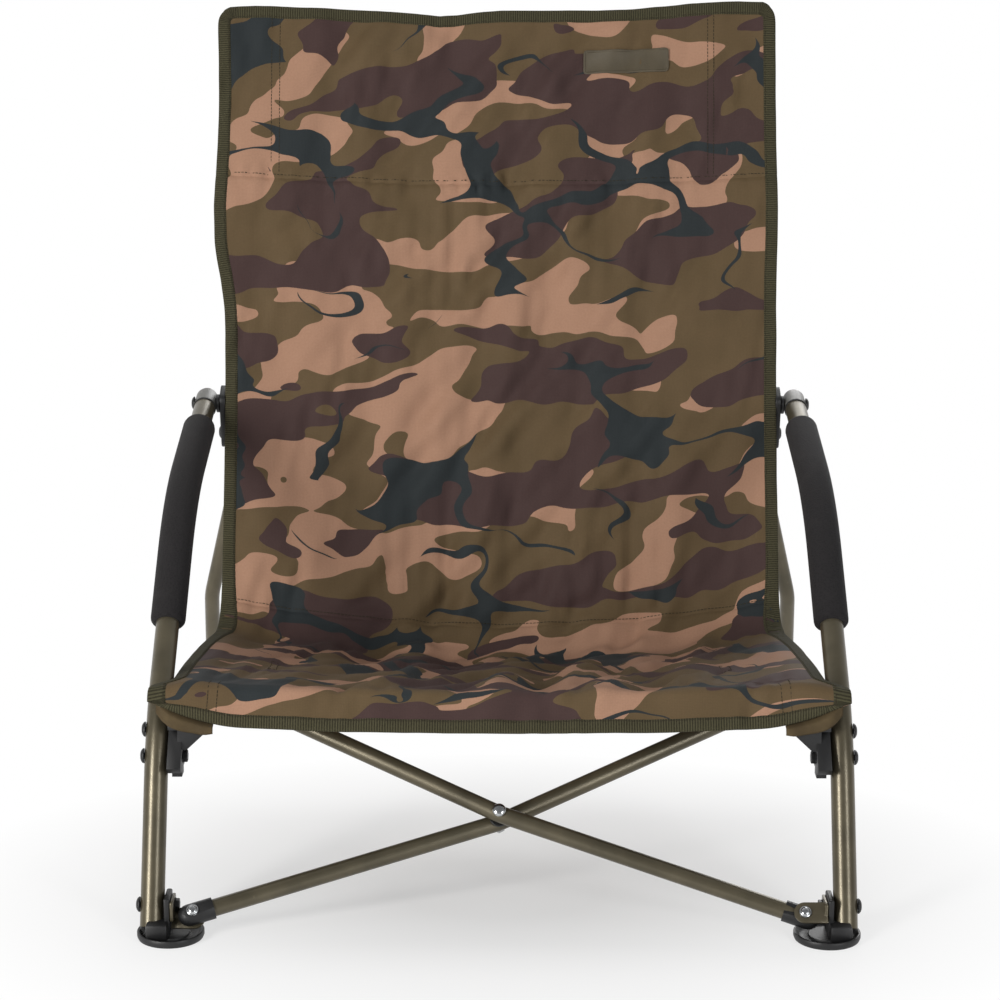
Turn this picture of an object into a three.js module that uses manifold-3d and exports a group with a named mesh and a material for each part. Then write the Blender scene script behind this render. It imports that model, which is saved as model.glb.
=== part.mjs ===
// Carp fishing chair: a low folding sling chair with two bent side frames, foam armrests,
// a reclined one-piece sling and a pair of crossed bars in front that fold the chair sideways.
// Millimetres, +Z up, +X to the viewer's right, and the chair faces -Y.
// The origin is on the ground, in the middle of the chair's outline.
// Places in a side frame are given as back (from the front foot) and up (from the ground).

import * as THREE from "three";
import { mergeVertices } from "three/addons/utils/BufferGeometryUtils.js";
import Module from "manifold-3d";

const wasm = await Module();
wasm.setup();

// Driving dimensions of the whole chair
const chair = {
  footSpan: 640, // front foot to rear foot
  legOut: 315, // middle to the leg at the ground
  armOut: 309, // middle to the armrest at its rear end
  poleOut: 279, // middle to the back pole
  recline: 17.5, // degrees from upright
  slingTop: 794,
  clearance: 0.4, // between pieces that touch
};

// Driving dimensions of the pieces
const legTube = { radius: 11, wall: 1.5, sides: 12, foot: 9.5 };
const armRoute = {
  knee: { back: 70, up: 178, bend: 200 },
  crest: { back: 272, up: 344, bend: 280 },
  end: { back: 500, up: 394.6 },
  pivotInset: 10,
};
const poleTube = { radius: 8, wall: 1.5, sides: 12, topBelowHem: 7 };
const rearLegRoute = {
  pivot: { behind: 16, below: 34 },
  headroom: 7,
  joggle: { out: 280.4, behind: 21, below: 50, bend: 60 },
  kink: { out: 315, back: 560, up: 165, bend: 60 },
  foot: { out: 324, up: 9 },
};
const rail = { frontOut: 290, frontBack: 86, frontUp: 207.8, drop: 0.1474, radius: 8, wall: 1.5, sides: 12 };
const elbow = { radius: 10.6, socket: 26, setBack: 12, base: 9 };
const foam = { radius: 16.5, startUp: 250, endInset: 69, rounding: 5, fit: 0.5 };
const endCap = { radius: 11, length: 9, collarRadius: 12, collar: 3, plug: 12 };
const plate = { thickness: 6, above: 20, below: 24, front: 13, rear: 15, corner: 9 };
const bolt = { radius: 3, head: 7, headHeight: 3.2, nut: 5.8, nutHeight: 4, sides: 8 };
const frontFoot = {
  radius: 30.5,
  out: 298,
  base: 2.6,
  rim: 7,
  rimWall: 2.6,
  hubRadius: 17,
  hubHeight: 4.4,
  sides: 28,
};
const footBlock = { inner: 299, outer: 319, front: 19, rear: 17, top: 18, chamfer: 4 };
const footCheek = { inner: 297.8, thickness: 5.4, front: 8, rear: 20, bottom: 14, top: 39, corner: 7 };
const footBolt = { up: 28 };
const rearFoot = {
  radius: 25,
  base: 2.6,
  rim: 6,
  rimWall: 2.2,
  socketRadius: 11.5,
  socketTop: 40,
  floor: 6,
  sides: 22,
};
const clevis = { thickness: 2.5, flange: 2.8, radius: 10, flangeFront: 9, flangeRear: 18, flangeTop: 36, flangeBottom: 17 };
const rivet = { radius: 3, head: 5.6, headHeight: 2.8, ring: 4, ringHeight: 1 };
const cross = {
  tilt: 45, // degrees of the bars' plane from the ground
  rivetOut: 277,
  rivetUp: 21,
  boltRise: 96.5,
  endOut: 262,
  endRise: 225,
  radius: 8,
  wall: 1.4,
  sides: 12,
  layer: 9.3, // from the middle plane at the centre bolt
  footLayer: 2,
  bend: 90,
};
const ferrule = { radius: 10, ball: 4, length: 19, start: 8, flat: 8.6 };
const pinCap = { radius: 9, length: 17, end: 5, pinRadius: 4, reach: 278.4 };
const centreBolt = { head: 6.4, headHeight: 3.6, washer: 8.5, washerGap: 0.3 };
const saddle = { radius: 11.2, halfLength: 13, wing: 270.6, wingBack: 281.4, drop: 27, wallBelow: 6, fit: 0.6 };
const legBracket = {
  inner: 290,
  leanFront: 15,
  leanRear: 15,
  bottom: 142,
  top: 183,
  lip: 6,
  lipInset: 7,
  shelf: 4,
  shelfInner: 264,
  shelfFront: 53,
  shelfRear: 92,
  gussetBottom: 160,
  gussetThickness: 5,
  riserInner: 283,
  riserOuter: 297,
  riserFront: 70,
  spigot: 22,
  shoulder: 15,
  boltUps: [152, 173],
};
const pivotSpacer = { radius: 9.5 };
const poleCap = { radius: 8, height: 3, plug: 14 };
const sling = {
  thickness: 2.4,
  halfWidth: 288,
  swell: 5,
  swellUp: 590,
  swellReach: 110,
  seatEdge: 301.5,
  cornerOut: 321,
  pinch: 4,
  pinchUp: 395,
  pinchReach: 70,
  frontBack: 60,
  cornerDrop: 9,
  hem: 12,
  crook: 48,
  noseBend: 6,
  backSagTop: 8,
  backSag: 20,
  seatSag: 26,
  frontSag: 25,
  foldDepth: 2.4,
  folds: 3,
  notchFront: 73,
  notchRear: 80,
  longestRow: 60,
};
const pocket = { length: 168, wall: 2, inner: 262, fit: 0.5, sides: 6, outerFront: 7.9, innerFront: 5.4 };
const badge = { width: 90, height: 25, thickness: 1.6, fromTop: 48, out: 132, corner: 4, gap: 0.3 };
const overrun = 2; // past a face, for cuts
const stepAngle = 9; // degrees of a bend between two rings

const degrees = Math.PI / 180;
const frontY = -(chair.footSpan + rearFoot.radius - frontFoot.radius) / 2;
const place = (out, back, up) => new THREE.Vector3(out, back + frontY, up);

// Closed meshes, joins and cuts
function merged(geometry) {
  const bare = new THREE.BufferGeometry().setAttribute("position", geometry.getAttribute("position"));
  if (geometry.index) bare.setIndex(geometry.index);
  const whole = mergeVertices(bare, 1e-3);
  const index = [];
  const from = whole.index.array;
  for (let i = 0; i < from.length; i += 3) {
    const [a, b, c] = [from[i], from[i + 1], from[i + 2]];
    if (a !== b && b !== c && c !== a) index.push(a, b, c);
  }
  whole.setIndex(index);
  return signedVolume(whole) < 0 ? turnedOut(whole) : whole;
}

function signedVolume(geometry) {
  const p = geometry.getAttribute("position");
  const index = geometry.index.array;
  const [a, b, c] = [new THREE.Vector3(), new THREE.Vector3(), new THREE.Vector3()];
  let six = 0;
  for (let i = 0; i < index.length; i += 3) {
    a.fromBufferAttribute(p, index[i]);
    b.fromBufferAttribute(p, index[i + 1]);
    c.fromBufferAttribute(p, index[i + 2]);
    six += a.dot(b.cross(c));
  }
  return six;
}

function turnedOut(geometry) {
  const index = Array.from(geometry.index.array);
  for (let i = 0; i < index.length; i += 3) [index[i + 1], index[i + 2]] = [index[i + 2], index[i + 1]];
  return geometry.setIndex(index);
}

function solid(geometry) {
  const closed = merged(geometry);
  return new wasm.Manifold(
    new wasm.Mesh({
      numProp: 3,
      vertProperties: new Float32Array(closed.getAttribute("position").array),
      triVerts: new Uint32Array(closed.index.array),
    }),
  );
}

function shown(made) {
  const mesh = made.getMesh();
  return new THREE.BufferGeometry()
    .setAttribute("position", new THREE.BufferAttribute(new Float32Array(mesh.vertProperties), 3))
    .setIndex(Array.from(mesh.triVerts));
}

const join = (first, ...others) => shown(others.reduce((sum, g) => sum.add(solid(g)), solid(first)));
const cut = (first, ...tools) => shown(tools.reduce((left, g) => left.subtract(solid(g)), solid(first)));

// Outlines and turned forms
function ring(radius, sides) {
  return Array.from({ length: sides }, (_, i) => {
    const angle = ((i + 0.5) * 2 * Math.PI) / sides;
    return new THREE.Vector2(radius * Math.cos(angle), radius * Math.sin(angle));
  });
}

// A hole's flats lie at its radius, so a round piece of that radius fits in it.
const holeRadius = (radius, sides) => radius / Math.cos(Math.PI / sides);

function turned(profile, sides, axis, origin) {
  const geometry = new THREE.LatheGeometry(
    profile.map(([radius, along]) => new THREE.Vector2(radius, along)),
    sides,
  );
  const up = new THREE.Vector3(0, 1, 0);
  geometry.applyQuaternion(new THREE.Quaternion().setFromUnitVectors(up, axis.clone().normalize()));
  return geometry.translate(origin.x, origin.y, origin.z);
}

function rod(radius, from, to, sides) {
  const along = to.clone().sub(from);
  const length = along.length();
  return turned([[0, 0], [radius, 0], [radius, length], [0, length]], sides, along, from);
}

// A hole's cutting tool, a little longer than the way between its two ends.
function drill(radius, from, to, sides) {
  const extra = to.clone().sub(from).setLength(overrun);
  return rod(holeRadius(radius, sides), from.clone().sub(extra), to.clone().add(extra), sides);
}

function box(low, high) {
  const size = high.clone().sub(low);
  const middle = high.clone().add(low).multiplyScalar(0.5);
  return new THREE.BoxGeometry(size.x, size.y, size.z).translate(middle.x, middle.y, middle.z);
}

// An outline of back and up values, as a plate between two distances from the middle.
function sidePlate(outline, inner, outer) {
  const shape = new THREE.Shape(outline.map(([back, up]) => new THREE.Vector2(back, up)));
  const geometry = new THREE.ExtrudeGeometry(shape, { depth: outer - inner, bevelEnabled: false });
  geometry.applyMatrix4(new THREE.Matrix4().set(0, 0, 1, inner, 1, 0, 0, frontY, 0, 1, 0, 0, 0, 0, 0, 1));
  return geometry;
}

// A closed outline with its corners rounded.
function rounded(corners, radius, steps) {
  const points = [];
  corners.forEach((corner, i) => {
    const last = corners[(i + corners.length - 1) % corners.length];
    const next = corners[(i + 1) % corners.length];
    const toLast = new THREE.Vector2(last[0] - corner[0], last[1] - corner[1]).normalize();
    const toNext = new THREE.Vector2(next[0] - corner[0], next[1] - corner[1]).normalize();
    const half = Math.acos(THREE.MathUtils.clamp(toLast.dot(toNext), -1, 1)) / 2;
    const reach = radius / Math.tan(half);
    const here = new THREE.Vector2(...corner);
    const start = here.clone().addScaledVector(toLast, reach);
    const end = here.clone().addScaledVector(toNext, reach);
    const curve = new THREE.QuadraticBezierCurve(start, here, end);
    curve.getPoints(steps).forEach((p) => points.push([p.x, p.y]));
  });
  return points;
}

// Routes: straight runs with round bends, given by a ring's place at each step
function bentRoute(corners, bends) {
  const stations = [corners[0].clone()];
  for (let i = 1; i < corners.length - 1; i++) {
    const inward = corners[i].clone().sub(corners[i - 1]).normalize();
    const onward = corners[i + 1].clone().sub(corners[i]).normalize();
    const turn = inward.angleTo(onward);
    const radius = bends[i - 1];
    const start = corners[i].clone().addScaledVector(inward, -radius * Math.tan(turn / 2));
    const toCentre = onward.clone().sub(inward).normalize();
    const centre = corners[i].clone().addScaledVector(toCentre, radius / Math.cos(turn / 2));
    const spoke = start.clone().sub(centre);
    const steps = Math.max(2, Math.ceil(turn / degrees / stepAngle));
    for (let k = 0; k <= steps; k++) {
      const angle = (turn * k) / steps;
      const point = centre.clone().addScaledVector(spoke, Math.cos(angle));
      stations.push(point.addScaledVector(inward, radius * Math.sin(angle)));
    }
  }
  stations.push(corners[corners.length - 1].clone());
  return stations;
}

class StationCurve extends THREE.Curve {
  constructor(stations) {
    super();
    this.stations = stations;
  }
  index(u) {
    return Math.round(u * (this.stations.length - 1));
  }
  getPointAt(u) {
    return this.stations[this.index(u)].clone();
  }
  getPoint(u) {
    return this.getPointAt(u);
  }
  getTangentAt(u, target = new THREE.Vector3()) {
    const i = this.index(u);
    const before = this.stations[Math.max(0, i - 1)];
    const here = this.stations[i];
    const after = this.stations[Math.min(this.stations.length - 1, i + 1)];
    const inward = here.clone().sub(before);
    const onward = after.clone().sub(here);
    return target.copy(inward.normalize()).add(onward.normalize()).normalize();
  }
  getTangent(u, target) {
    return this.getTangentAt(u, target);
  }
}

function tube(stations, { radius, wall, sides }) {
  const shape = new THREE.Shape(ring(radius, sides));
  shape.holes.push(new THREE.Path(ring(radius - wall, sides / 2).reverse()));
  return new THREE.ExtrudeGeometry(shape, {
    steps: stations.length - 1,
    bevelEnabled: false,
    extrudePath: new StationCurve(stations),
  });
}

// The point and heading at a distance along a route, and the stretch between two distances.
function lengths(stations) {
  const sums = [0];
  for (let i = 1; i < stations.length; i++) sums.push(sums[i - 1] + stations[i].distanceTo(stations[i - 1]));
  return sums;
}

function pointAlong(stations, distance) {
  const sums = lengths(stations);
  let i = 1;
  while (i < stations.length - 1 && sums[i] < distance) i++;
  const share = (distance - sums[i - 1]) / (sums[i] - sums[i - 1]);
  return stations[i - 1].clone().lerp(stations[i], share);
}

function stretch(stations, from, to, extras = []) {
  const sums = lengths(stations);
  const marks = [from, to, ...extras, ...sums.filter((s) => s > from + overrun && s < to - overrun)];
  return [...new Set(marks)].sort((a, b) => a - b).map((s) => pointAlong(stations, s));
}

// The point of a route at a height, where the route climbs all the way.
function pointAtHeight(stations, up) {
  const i = Math.max(1, stations.findIndex((p) => p.z >= up));
  const share = (up - stations[i - 1].z) / (stations[i].z - stations[i - 1].z);
  return stations[i - 1].clone().lerp(stations[i], share);
}

// A closed skin over rings of points, joined in order and back to the first.
function ringSkin(rings) {
  const sides = rings[0].length;
  const positions = rings.flat().flatMap((p) => [p.x, p.y, p.z]);
  const index = [];
  rings.forEach((_, r) => {
    const here = r * sides;
    const next = ((r + 1) % rings.length) * sides;
    for (let s = 0; s < sides; s++) {
      const t = (s + 1) % sides;
      index.push(here + s, next + s, next + t, here + s, next + t, here + t);
    }
  });
  return new THREE.BufferGeometry()
    .setAttribute("position", new THREE.Float32BufferAttribute(positions, 3))
    .setIndex(index);
}

function ringsAlong(stations, radii, sides) {
  const frames = new StationCurve(stations).computeFrenetFrames(stations.length - 1, false);
  return stations.map((centre, i) =>
    ring(radii[i], sides).map((p) =>
      centre.clone().addScaledVector(frames.normals[i], p.x).addScaledVector(frames.binormals[i], p.y),
    ),
  );
}

// The side frame's lines, for the side on the viewer's right
const outAt = (back) => chair.legOut + ((chair.armOut - chair.legOut) * back) / armRoute.end.back;
const armPoint = ({ back, up }) => place(outAt(back), back, up);
const legLean = armRoute.knee.back / (armRoute.knee.up - legTube.foot);
const armStations = bentRoute(
  [armPoint({ back: 0, up: legTube.foot }), armPoint(armRoute.knee), armPoint(armRoute.crest), armPoint(armRoute.end)],
  [armRoute.knee.bend, armRoute.crest.bend],
);
const armLength = lengths(armStations).at(-1);
const armEnd = armStations.at(-1);
const armHeading = armEnd.clone().sub(armStations.at(-2)).normalize();
const pivot = armEnd.clone().addScaledVector(armHeading, -armRoute.pivotInset);
const poleRun = Math.tan(chair.recline * degrees);
const polePoint = (up) => new THREE.Vector3(chair.poleOut, pivot.y + (up - pivot.z) * poleRun, up);
const poleHeading = new THREE.Vector3(0, Math.sin(chair.recline * degrees), Math.cos(chair.recline * degrees));
const poleTop = polePoint(chair.slingTop - poleTube.topBelowHem);
const backLean = -rail.drop;
const railFront = place(rail.frontOut, rail.frontBack, rail.frontUp);
const railUpAt = (y) => railFront.z + (y - railFront.y) * backLean;

// The rail's line meets the pole's line at the elbow.
const elbowUp = (() => {
  const yAt = (up) => pivot.y + (up - pivot.z) * poleRun;
  const slope = backLean * poleRun;
  return (railUpAt(yAt(0)) ) / (1 - slope);
})();
const elbowPoint = polePoint(elbowUp);
const railHeading = elbowPoint.clone().sub(railFront).normalize();
const railPointAt = (y) => railFront.clone().addScaledVector(railHeading, (y - railFront.y) / railHeading.y);
const legPivot = new THREE.Vector3(
  chair.poleOut,
  pivot.y + rearLegRoute.pivot.behind,
  pivot.z - rearLegRoute.pivot.below,
);
const jogglePoint = new THREE.Vector3(
  rearLegRoute.joggle.out,
  legPivot.y + rearLegRoute.joggle.behind,
  legPivot.z - rearLegRoute.joggle.below,
);
const legPivotHeading = jogglePoint.clone().sub(legPivot).normalize();
const rearLegTop = legPivot.clone().addScaledVector(legPivotHeading, -rearLegRoute.headroom);
const rearLegFoot = place(rearLegRoute.foot.out, chair.footSpan, rearLegRoute.foot.up);
const kinkPoint = place(rearLegRoute.kink.out, rearLegRoute.kink.back, rearLegRoute.kink.up);
const rearLegStations = bentRoute(
  [rearLegTop, jogglePoint, kinkPoint, rearLegFoot],
  [rearLegRoute.joggle.bend, rearLegRoute.kink.bend],
);
const plateInner = chair.poleOut + poleTube.radius + chair.clearance * 2;
const plateOuter = plateInner + plate.thickness;
const sideways = new THREE.Vector3(1, 0, 0);

// The plane of the crossed bars
const tilt = cross.tilt * degrees;
const crossNormal = new THREE.Vector3(0, -Math.sin(tilt), Math.cos(tilt));
const onCross = (out, rise, layer) =>
  place(out, rise * Math.cos(tilt), cross.rivetUp + rise * Math.sin(tilt)).addScaledVector(crossNormal, layer);

// Fasteners
function crossBolt(point, inner, outer, head = bolt.head) {
  const length = outer - inner;
  const dome = 0.72;
  const profile = [
    [0, -bolt.nutHeight],
    [bolt.nut, -bolt.nutHeight],
    [bolt.nut, 0],
    [bolt.radius, 0],
    [bolt.radius, length],
    [head, length],
    [head * dome, length + bolt.headHeight],
    [0, length + bolt.headHeight],
  ];
  return turned(profile, bolt.sides, sideways, new THREE.Vector3(inner, point.y, point.z));
}

function sideDrill(point, inner, outer) {
  const from = new THREE.Vector3(inner, point.y, point.z);
  return drill(bolt.radius + chair.clearance / 2, from, from.clone().setX(outer), bolt.sides);
}

const footBoltPoint = place(0, (footBolt.up - legTube.foot) * legLean, footBolt.up);
const bracketBoltPoints = legBracket.boltUps.map((up) => pointAtHeight(armStations, up));
const legOuter = (point) => pointAtHeight(armStations, point.z).x + legTube.radius;
const spacerOuter = pivot.x - legTube.radius - chair.clearance;

// Side frame pieces
function armTube() {
  const through = [footBoltPoint, ...bracketBoltPoints, pivot];
  const far = chair.legOut + legTube.radius;
  return cut(tube(armStations, legTube), ...through.map((p) => sideDrill(p, rail.frontOut, far)));
}

function foamGrip() {
  const startPoint = pointAtHeight(armStations, foam.startUp);
  const firstAbove = armStations.findIndex((p) => p.z >= foam.startUp);
  const from = lengths(armStations)[firstAbove - 1] + startPoint.distanceTo(armStations[firstAbove - 1]);
  const to = armLength - foam.endInset;
  const stations = stretch(armStations, from, to, [from + foam.rounding, to - foam.rounding]);
  const last = stations.length - 1;
  const radii = stations.map((_, i) => (i === 0 || i === last ? foam.radius - foam.rounding / 2 : foam.radius));
  const bore = stations.map(() => legTube.radius + foam.fit);
  const outside = ringsAlong(stations, radii, legTube.sides);
  const inside = ringsAlong(stations, bore, legTube.sides);
  return ringSkin([...outside, ...inside.reverse()]);
}

function armEndCap() {
  const bore = (legTube.radius - legTube.wall) * Math.cos((2 * Math.PI) / legTube.sides) - chair.clearance;
  const half = Math.PI / 2;
  const dome = Array.from({ length: 4 }, (_, i) => {
    const angle = (i * half) / 3;
    const along = endCap.collar + endCap.length * Math.sin(angle);
    return [endCap.radius * Math.cos(angle), along];
  });
  const profile = [
    [0, -endCap.plug],
    [bore, -endCap.plug],
    [bore, chair.clearance],
    [endCap.collarRadius, chair.clearance],
    [endCap.collarRadius, endCap.collar],
    ...dome.slice(0, -1),
    [0, dome.at(-1)[1]],
  ];
  const plugged = turned(profile, legTube.sides, armHeading, armEnd);
  return cut(plugged, sideDrill(pivot, pivot.x - legTube.radius, pivot.x + legTube.radius));
}

function spacer() {
  const from = new THREE.Vector3(plateOuter + chair.clearance, pivot.y, pivot.z);
  const to = from.clone().setX(spacerOuter);
  return cut(rod(pivotSpacer.radius, from, to, poleTube.sides), sideDrill(pivot, from.x, to.x));
}

function backBracket() {
  const [y, z] = [pivot.y - frontY, pivot.z];
  const [yLow, zLow] = [legPivot.y - frontY, legPivot.z];
  const corners = [
    [y - plate.front, z + plate.above * 0.4],
    [yLow - plate.rear, zLow - plate.below * 0.55],
    [yLow + plate.rear * 0.9, zLow - plate.below * 0.75],
    [yLow + plate.rear, zLow + plate.front],
    [y + plate.front, z + plate.above],
  ];
  const outline = rounded(corners, plate.corner, 4);
  const through = [pivot, legPivot].map((p) => sideDrill(p, plateInner, plateOuter));
  return cut(sidePlate(outline, plateInner, plateOuter), ...through);
}

function backPole() {
  const foot = elbowPoint.clone().addScaledVector(poleHeading, elbow.setBack);
  const pole = tube([foot, poleTop], poleTube);
  return cut(pole, sideDrill(pivot, chair.poleOut - poleTube.radius, plateInner));
}

function poleTipCap() {
  const bore = (poleTube.radius - poleTube.wall) * Math.cos((2 * Math.PI) / poleTube.sides) - chair.clearance;
  const profile = [
    [0, -poleCap.plug],
    [bore, -poleCap.plug],
    [bore, chair.clearance],
    [poleCap.radius, chair.clearance],
    [poleCap.radius, poleCap.height * 0.6],
    [poleCap.radius * 0.7, poleCap.height],
    [0, poleCap.height],
  ];
  return turned(profile, poleTube.sides, poleHeading, poleTop);
}

function rearLeg() {
  const leg = tube(rearLegStations, poleTube);
  return cut(leg, sideDrill(legPivot, chair.poleOut - poleTube.radius, plateInner));
}

function footDish({ radius, base, rim, rimWall, sides }, hub, hubHeight, centre) {
  const profile = [
    [0, 0],
    [radius - rimWall, 0],
    [radius, rim * 0.45],
    [radius, rim],
    [radius - rimWall, rim],
    [radius - rimWall * 2, base],
    [hub + rimWall, base],
    [hub, hubHeight],
    [0, hubHeight],
  ];
  return turned(profile, sides, new THREE.Vector3(0, 0, 1), centre);
}

function frontFootMoulding() {
  const dish = footDish(frontFoot, frontFoot.hubRadius, frontFoot.hubHeight, place(frontFoot.out, 0, 0));
  const { front, rear, top, chamfer } = footBlock;
  const outline = [
    [-front, frontFoot.base],
    [rear, frontFoot.base],
    [rear, top - chamfer],
    [rear - chamfer, top],
    [chamfer - front, top],
    [-front, top - chamfer],
  ];
  const block = sidePlate(outline, footBlock.inner, footBlock.outer);
  const cheekOutline = rounded(
    [
      [-footCheek.front, frontFoot.base],
      [footCheek.rear, frontFoot.base],
      [footCheek.rear, footCheek.top],
      [-footCheek.front / 2, footCheek.top],
    ],
    footCheek.corner / 2,
    3,
  );
  const cheek = sidePlate(cheekOutline, footCheek.inner, footCheek.inner + footCheek.thickness);
  const legHole = drill(
    legTube.radius + chair.clearance,
    armStations[0].clone().addScaledVector(new THREE.Vector3(0, legLean, 1), 0),
    armStations[1],
    legTube.sides,
  );
  const boltHole = sideDrill(footBoltPoint, footCheek.inner, footCheek.inner + footCheek.thickness);
  return cut(join(dish, block, cheek), legHole, boltHole);
}

function footClevis(layerSign) {
  const inner = footCheek.inner - chair.clearance - clevis.flange;
  const outer = footCheek.inner - chair.clearance;
  const flangeOutline = rounded(
    [
      [-clevis.flangeFront, clevis.flangeBottom],
      [clevis.flangeRear, clevis.flangeBottom],
      [clevis.flangeRear, clevis.flangeTop],
      [-clevis.flangeFront, clevis.flangeTop],
    ],
    clevis.flange,
    2,
  );
  const flange = sidePlate(flangeOutline, inner, outer);
  const near = layerSign * (ferrule.flat + chair.clearance - cross.footLayer);
  const shape = new THREE.Shape();
  shape.moveTo(outer - cross.rivetOut, -clevis.radius);
  shape.lineTo(0, -clevis.radius);
  shape.absarc(0, 0, clevis.radius, -Math.PI / 2, Math.PI / 2, true);
  shape.lineTo(outer - cross.rivetOut, clevis.radius);
  const tab = new THREE.ExtrudeGeometry(shape, {
    depth: clevis.thickness,
    bevelEnabled: false,
    curveSegments: 8,
  });
  const low = Math.min(near, near + layerSign * clevis.thickness);
  tab.translate(0, 0, low).rotateX(tilt);
  const origin = onCross(cross.rivetOut, 0, 0);
  tab.translate(origin.x, origin.y, origin.z);
  const rivetHole = drill(
    rivet.radius + chair.clearance / 2,
    onCross(cross.rivetOut, 0, low),
    onCross(cross.rivetOut, 0, low + clevis.thickness),
    bolt.sides,
  );
  return cut(join(flange, tab), rivetHole, sideDrill(footBoltPoint, inner, outer));
}

function clevisRivet(layerSign) {
  const tabFace = ferrule.flat + chair.clearance - cross.footLayer + clevis.thickness + chair.clearance;
  const farFace = ferrule.flat + chair.clearance + cross.footLayer;
  const length = tabFace + farFace;
  const head = (start, way) => [
    [rivet.head, start],
    [rivet.head, start + way * rivet.ringHeight],
    [rivet.ring, start + way * rivet.ringHeight],
    [rivet.ring * 0.6, start + way * rivet.headHeight],
  ];
  const profile = [
    [0, -rivet.headHeight],
    ...head(0, -1).reverse(),
    [rivet.radius, 0],
    [rivet.radius, length],
    ...head(length, 1),
    [0, length + rivet.headHeight],
  ];
  const axis = crossNormal.clone().multiplyScalar(-layerSign);
  return turned(profile, bolt.sides, axis, onCross(cross.rivetOut, 0, layerSign * tabFace));
}

function legBracketMoulding() {
  const b = legBracket;
  const atLeg = (up) => pointAtHeight(armStations, up).y - frontY;
  const outerFace = chair.legOut - legTube.radius - (chair.legOut - outAt(atLeg(b.top))) - chair.clearance;
  const outline = [
    [atLeg(b.bottom) - b.leanFront, b.bottom],
    [atLeg(b.bottom) + b.leanRear, b.bottom],
    [atLeg(b.top) + b.leanRear, b.top],
    [atLeg(b.top) - b.leanFront, b.top],
    [atLeg(b.top) - b.leanFront - b.lip, b.top - b.lip],
    [atLeg(b.bottom) - b.leanFront - b.lip, b.bottom + b.lip],
  ];
  const block = sidePlate(outline, b.inner, outerFace);
  const lip = box(
    place(b.inner, atLeg(b.bottom) - b.leanFront / 2, b.bottom - b.lip),
    place(outerFace - b.lipInset / 2, atLeg(b.bottom) + b.leanRear / 2, b.bottom + b.shelf),
  );
  const shelf = box(place(b.shelfInner, b.shelfFront, b.top - b.shelf), place(outerFace, b.shelfRear, b.top));
  const gusset = new THREE.ExtrudeGeometry(
    new THREE.Shape([
      new THREE.Vector2(b.shelfInner, b.top - b.shelf / 2),
      new THREE.Vector2(b.inner + b.shelf, b.top - b.shelf / 2),
      new THREE.Vector2(b.inner + b.shelf, b.gussetBottom),
      new THREE.Vector2(b.inner - b.shelf, b.gussetBottom),
    ]),
    { depth: b.gussetThickness, bevelEnabled: false },
  );
  gusset.rotateX(Math.PI / 2).translate(0, frontY + b.shelfFront + b.gussetThickness, 0);
  const riser = box(
    place(b.riserInner, b.riserFront, b.top - b.shelf),
    place(b.riserOuter, b.shelfRear - b.lip, railUpAt(railFront.y)),
  );
  const nose = railFront.clone().addScaledVector(railHeading, -chair.clearance);
  const shoulder = rod(rail.radius, nose.clone().addScaledVector(railHeading, -b.shoulder), nose, rail.sides);
  const bore = (rail.radius - rail.wall) * Math.cos((2 * Math.PI) / rail.sides) - chair.clearance;
  const spigot = rod(
    bore,
    nose.clone().addScaledVector(railHeading, -b.shelf),
    nose.clone().addScaledVector(railHeading, b.spigot),
    rail.sides,
  );
  const railRoom = rod(
    holeRadius(rail.radius + chair.clearance, rail.sides),
    nose,
    nose.clone().addScaledVector(railHeading, b.spigot * 2),
    rail.sides,
  );
  const legRoom = solid(
    tube(armStations, { radius: legTube.radius + chair.clearance * 2, wall: legTube.radius / 2, sides: legTube.sides }),
  );
  const body = solid(cut(join(block, lip, shelf, gusset, riser, shoulder), railRoom));
  const whole = body.add(solid(spigot)).subtract(legRoom);
  return cut(shown(whole), ...bracketBoltPoints.map((p) => sideDrill(p, b.inner, outerFace)));
}

function seatRail() {
  const rear = elbowPoint.clone().addScaledVector(railHeading, -elbow.setBack);
  return tube([railFront, rear], rail);
}

function seatElbow() {
  const poleEnd = elbowPoint.clone().addScaledVector(poleHeading, elbow.socket);
  const poleBase = elbowPoint.clone().addScaledVector(poleHeading, -elbow.base);
  const railEnd = elbowPoint.clone().addScaledVector(railHeading, -elbow.socket);
  const poleSeat = elbowPoint.clone().addScaledVector(poleHeading, elbow.setBack - chair.clearance);
  const railSeat = elbowPoint.clone().addScaledVector(railHeading, chair.clearance - elbow.setBack);
  const fit = poleTube.radius + chair.clearance;
  const body = join(
    rod(elbow.radius, poleBase, poleEnd, poleTube.sides),
    rod(elbow.radius, elbowPoint, railEnd, rail.sides),
  );
  const poleRoom = rod(holeRadius(fit, poleTube.sides), poleSeat, poleTop, poleTube.sides);
  const railRoom = rod(holeRadius(fit, rail.sides), railSeat, railFront, rail.sides);
  return cut(body, poleRoom, railRoom);
}

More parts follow.
